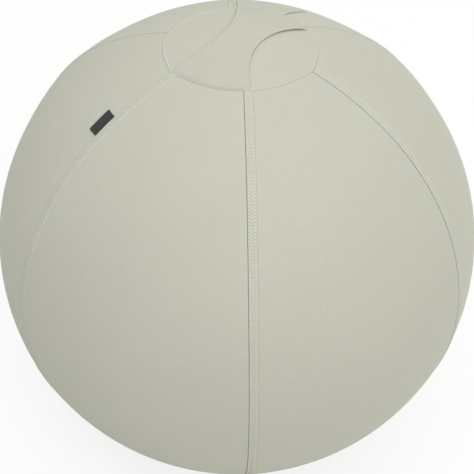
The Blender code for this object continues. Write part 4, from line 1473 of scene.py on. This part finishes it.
# Zip
ZIP_ROWS, GUARD_ROWS, GUARD_COLUMNS, HEM_POINTS = 260, 160, 9, 240
END_SINK = 0.7  # share of the tapes' ends over which they sink under the cloth
TUCKED_TAPE = 0.6 * MM  # thickness of the tape under the hem
TAPE_RUN = steps(0, 0.4, 1.2, 2.2, 3.0)  # columns of a tape from the teeth
TAPE_TUCK = steps(-0.2, 0.6, 2, 4)  # and from the hem
ZIP_THREAD_PROUD = 0.25  # share of its thickness by which a stitch's middle stands over the hem
TOOTH_GRIP = 0.0005  # how far a tooth's root reaches over the tape
TOOTH_ROOT = 0.0008  # length of the root
TOOTH_HEAD = 0.0008  # length of the head
TOOTH_WIDTH = 0.0016
NECK_SHARE, HEAD_SHARE = 0.62, 0.94  # width of the neck and of the head, as shares of the root's
TIP_SHARE = 0.85  # width of the tip, as a share of the head's
FACING = -0.5  # a face whose normal points further than this to -Y is the tooth's front


def zip_strip(name, across, depth, thickness, under=None, rows=ZIP_ROWS):
    """A strip of cloth along the zip, at these distances up the cover. Its ends can sink to a depth."""
    phi = np.linspace(-zip_half(), zip_half(), rows)[:, None]
    theta = base_tilt() - across[None, :] / ball("cover").equator_radius
    if under is not None:
        past = (np.abs(phi) - zip_half()) * ball("cover").base_radius + ZIP_TAPE_END
        depth = depth + (under - depth) * smooth(past / (END_SINK * ZIP_TAPE_END))
    front = skin(theta, ZIP_AZIMUTH + phi, depth + 0 * phi)
    back = skin(theta, ZIP_AZIMUTH + phi, depth + thickness + 0 * phi)
    grain = np.stack(np.broadcast_arrays(across[None, :], phi * ball("cover").base_radius), -1)
    return cloth_piece(name, front, back, grain)


def tooth_form():
    """One moulded tooth, pointing to -Y: a root that grips the tape, a narrow neck and a wider head."""
    zipper = ball("zip")
    grip = zipper.teeth + TOOTH_GRIP
    root = zipper.teeth - TOOTH_ROOT
    piece = added(bpy.ops.mesh.primitive_cube_add, size=1)
    bpy.ops.object.mode_set(mode="EDIT")
    bpy.ops.transform.resize(value=(TOOTH_WIDTH, grip - root, zipper.chain))
    bpy.ops.transform.translate(value=(0, (grip + root) / 2, 0))
    form = bmesh.from_edit_mesh(piece.data)
    for face in form.faces:
        face.select_set(face.normal.y < FACING)
    bmesh.update_edit_mesh(piece.data)
    neck = root - zipper.tooth_tip - TOOTH_HEAD
    widened = HEAD_SHARE / NECK_SHARE
    for reach, share in ((0, NECK_SHARE), (neck, 1), (0, widened), (TOOTH_HEAD, TIP_SHARE)):
        bpy.ops.mesh.extrude_region_move(TRANSFORM_OT_translate={"value": (0, -reach, 0)})
        bpy.ops.transform.resize(value=(share, 1, 1))
    bpy.ops.mesh.select_all(action="SELECT")
    bpy.ops.mesh.remove_doubles(threshold=WELD)
    bpy.ops.mesh.bevel(offset=zipper.edge_round, segments=1, affect="EDGES")
    bpy.ops.object.mode_set(mode="OBJECT")
    points, faces = taken(piece)
    return points.astype(float), faces


def zip_teeth(name, side):
    """A row of teeth on the zip's upper (1) or lower (-1) tape, half a pitch on from the other row."""
    zipper, cover = ball("zip"), ball("cover")
    points, faces = tooth_form()
    run = 2 * zipper.half_span * cover.base_radius
    count = int(run / zipper.tooth_pitch) - 1
    start = (run - count * zipper.tooth_pitch) / 2 + (2 + side) * zipper.tooth_pitch / 4
    along = start + np.arange(count)[:, None] * zipper.tooth_pitch - run / 2 + points[None, :, 0]
    theta = base_tilt() - side * points[None, :, 1] / cover.equator_radius
    depth = zipper.tape_depth + zipper.tape / 2 - points[None, :, 2]
    shaped = skin(theta, ZIP_AZIMUTH + along / cover.base_radius, depth)
    return copies(name, shaped, [face[::side] for face in faces])


class BALL_OT_zip(bpy.types.Operator):
    """Zip round the back of the base: tapes, moulded teeth, stops, the guard and the hem stitches"""

    bl_idname = "ball.zip"
    bl_label = "Zip"

    def execute(self, context):
        zipper, cover = ball("zip"), ball("cover")
        inner = zipper.teeth + cover.fit
        under = cover.cloth + cover.fit
        tucked = zipper.hem + TAPE_TUCK
        across = np.concatenate((inner + TAPE_RUN, tucked, [zipper.hem + zipper.tape_tuck]))
        sink = smooth((across - inner - TAPE_RUN[-1]) / (tucked[0] - inner - TAPE_RUN[-1]))
        depth = zipper.tape_depth + (under - zipper.tape_depth) * sink
        thickness = zipper.tape + (TUCKED_TAPE - zipper.tape) * sink
        for name, side in (("upper", 1), ("lower", -1)):
            piece = zip_strip("woven_zip_tape_" + name, side * across, depth, thickness, under)
            dress(piece, zip_tape_finish(), "zip_cloth", "zip_tape_" + name)
            teeth = zip_teeth("moulded_teeth_" + name, side)
            dress(teeth, teeth_finish(), "zip_plastic", "zip_teeth_" + name)
        for node in ("zip_stop_start", "zip_stop_end"):
            rounded_copy("moulded_" + node, node, teeth_finish(), "zip_plastic")
        reach = zipper.guard_reach * np.linspace(-1, 1, GUARD_COLUMNS)
        level = np.full(GUARD_COLUMNS, zipper.guard_depth)
        piece = zip_strip("woven_zip_guard", reach, level, zipper.guard, rows=GUARD_ROWS)
        dress(piece, zip_tape_finish(), "zip_cloth", "zip_guard")
        phi = ZIP_AZIMUTH + np.linspace(-zip_half(), zip_half(), HEM_POINTS)
        rows = []
        for side in (1, -1):
            theta = base_tilt() - side * (zipper.hem + zipper.hem_row) / cover.equator_radius + 0 * phi
            line = skin(theta, phi, -HEM_THREAD * ZIP_THREAD_PROUD)
            rows.append(along_line(line, outward(theta, phi), cover.stitch_pitch))
        sew_hem("stitches_zip", rows)
        return {"FINISHED"}


class BALL_OT_slider(bpy.types.Operator):
    """Cast slider of the zip and the pull that hangs from it"""

    bl_idname = "ball.slider"
    bl_label = "Slider and pull"

    def execute(self, context):
        rounded_copy("cast_slider", "zip_slider", metal_finish(), "zip_metal", body="slider")
        rounded_copy("cast_pull", "zip_pull", metal_finish(), "zip_metal", body="pull")
        return {"FINISHED"}


# Stage
FLOOR_SIZE = 16.0
FLOOR_WHITE = 0.6  # share of plain white in the floor that the camera sees, so that a pale shadow stays
FLOOR_LIFT = 1.32  # strength of that white, which brings the floor out of the shadow to white
FLOOR_ROUGHNESS = 0.9
SENSOR_WIDTH = 36  # of the camera, in millimetres


def on_ball(azimuth, elevation, distance):
    """A place round the ball's centre."""
    level = math.cos(elevation)
    way = Vector((level * math.sin(azimuth), -level * math.cos(azimuth), math.sin(elevation)))
    return Vector((0, 0, centre_height())) + way * distance


def seen_directly(tree):
    """1 for what the camera sees, straight or through gloss and glass, and 0 for light on the ball."""
    path = tree.nodes.new("ShaderNodeLightPath")
    total = path.outputs["Is Camera Ray"]
    for name in ("Is Glossy Ray", "Is Transmission Ray"):
        add = tree.nodes.new("ShaderNodeMath")
        add.operation = "MAXIMUM"
        tree.links.new(total, add.inputs[0])
        tree.links.new(path.outputs[name], add.inputs[1])
        total = add.outputs[0]
    return total


def mix_seen(tree, share, lit, seen, surface):
    """Joins a shader for light on the ball and one for what the camera sees, by this share of the second."""
    mix = tree.nodes.new("ShaderNodeMixShader")
    for source, socket in zip((share, lit.outputs[0], seen.outputs[0]), mix.inputs):
        tree.links.new(source, socket)
    tree.links.new(mix.outputs[0], surface.inputs["Surface"])


def floor_finish(paint):
    material = bpy.data.materials.new("floor")
    material.use_nodes = True
    tree = material.node_tree
    shader = tree.nodes["Principled BSDF"]
    shader.inputs["Base Color"].default_value = (*paint, 1)
    shader.inputs["Roughness"].default_value = FLOOR_ROUGHNESS
    shader.inputs["Specular IOR Level"].default_value = 0.0
    white = tree.nodes.new("ShaderNodeEmission")
    white.inputs["Strength"].default_value = FLOOR_LIFT
    share = tree.nodes.new("ShaderNodeMath")
    share.operation = "MULTIPLY"
    share.inputs[1].default_value = FLOOR_WHITE
    tree.links.new(seen_directly(tree), share.inputs[0])
    mix_seen(tree, share.outputs[0], shader, white, tree.nodes["Material Output"])
    return material


def sky_light(strength):
    """A sky that is brightest overhead and dark at the horizon, and plain white where the camera sees it."""
    world = bpy.data.worlds.new("studio")
    bpy.context.scene.world = world
    world.use_nodes = True
    tree = world.node_tree
    overhead = tree.nodes["Background"]
    overhead.inputs["Color"].default_value = (1, 1, 1, 1)
    parts = tree.nodes.new("ShaderNodeSeparateXYZ")
    tree.links.new(tree.nodes.new("ShaderNodeTexCoord").outputs["Generated"], parts.inputs[0])
    rise = tree.nodes.new("ShaderNodeMapRange")
    rise.inputs["To Max"].default_value = strength
    tree.links.new(parts.outputs["Z"], rise.inputs["Value"])
    tree.links.new(rise.outputs[0], overhead.inputs["Strength"])
    white = tree.nodes.new("ShaderNodeBackground")
    white.inputs["Color"].default_value = (1, 1, 1, 1)
    mix_seen(tree, seen_directly(tree), overhead, white, tree.nodes["World Output"])


class BALL_OT_stage(bpy.types.Operator):
    """Pale floor, a sky that is brightest overhead, one soft lamp and the camera"""

    bl_idname = "ball.stage"
    bl_label = "Stage"

    def execute(self, context):
        stage = ball("stage")
        context.scene.view_settings.view_transform = "Standard"
        floor = added(bpy.ops.mesh.primitive_plane_add, size=FLOOR_SIZE)
        floor.name = "floor"
        floor.data.materials.append(floor_finish(stage.floor_colour))
        sky_light(stage.sky)
        centre = Vector((0, 0, centre_height()))
        lamp = bpy.data.lights.new("soft_lamp", "AREA")
        lamp.size = stage.key_size
        lamp.energy = stage.key * math.pi**2 * stage.key_distance**2
        light = linked("soft_lamp", lamp)
        light.location = on_ball(stage.key_azimuth, stage.key_elevation, stage.key_distance)
        light.rotation_euler = (centre - light.location).to_track_quat("-Z", "Y").to_euler()
        lens = bpy.data.cameras.new("camera")
        lens.sensor_width = SENSOR_WIDTH
        lens.lens = stage.lens
        camera = linked("camera", lens)
        camera.location = on_ball(stage.azimuth, stage.elevation, stage.distance)
        facing = (centre - camera.location).to_track_quat("-Z", "Y").to_matrix()
        camera.rotation_euler = (facing @ Matrix.Rotation(stage.roll, 3, "Z")).to_euler()
        context.scene.camera = camera
        return {"FINISHED"}


GROUPS = {
    "cover": BallCover,
    "strap": BallStrap,
    "label": BallLabel,
    "base": BallBase,
    "bladder": BallBladder,
    "zip": BallZip,
    "stage": BallStage,
}
OPERATORS = (
    BALL_OT_gores,
    BALL_OT_tapes,
    BALL_OT_crown,
    BALL_OT_strap,
    BALL_OT_label,
    BALL_OT_base,
    BALL_OT_pad,
    BALL_OT_bladder,
    BALL_OT_zip,
    BALL_OT_slider,
    BALL_OT_stage,
)


class BALL_PT_panel(bpy.types.Panel):
    """Sizes, colours and pieces of the sitting ball"""

    bl_label = "Sitting ball"
    bl_space_type = "VIEW_3D"
    bl_region_type = "UI"
    bl_category = "Ball"

    def draw(self, context):
        for operator in OPERATORS:
            self.layout.operator(operator.bl_idname)
        for name, group in GROUPS.items():
            box = self.layout.box()
            box.label(text=name.capitalize())
            for prop in group.__annotations__:
                box.prop(ball(name), prop)


def register():
    for name, group in GROUPS.items():
        bpy.utils.register_class(group)
        setattr(bpy.types.Scene, "ball_" + name, PointerProperty(type=group))
    for made in (*OPERATORS, BALL_PT_panel):
        bpy.utils.register_class(made)


def unregister():
    for made in (BALL_PT_panel, *reversed(OPERATORS)):
        bpy.utils.unregister_class(made)
    for name, group in reversed(GROUPS.items()):
        delattr(bpy.types.Scene, "ball_" + name)
        bpy.utils.unregister_class(group)


def main():
    register()
    for operator in OPERATORS:
        group, name = operator.bl_idname.split(".")
        getattr(getattr(bpy.ops, group), name)()


if __name__ == "__main__":
    main()
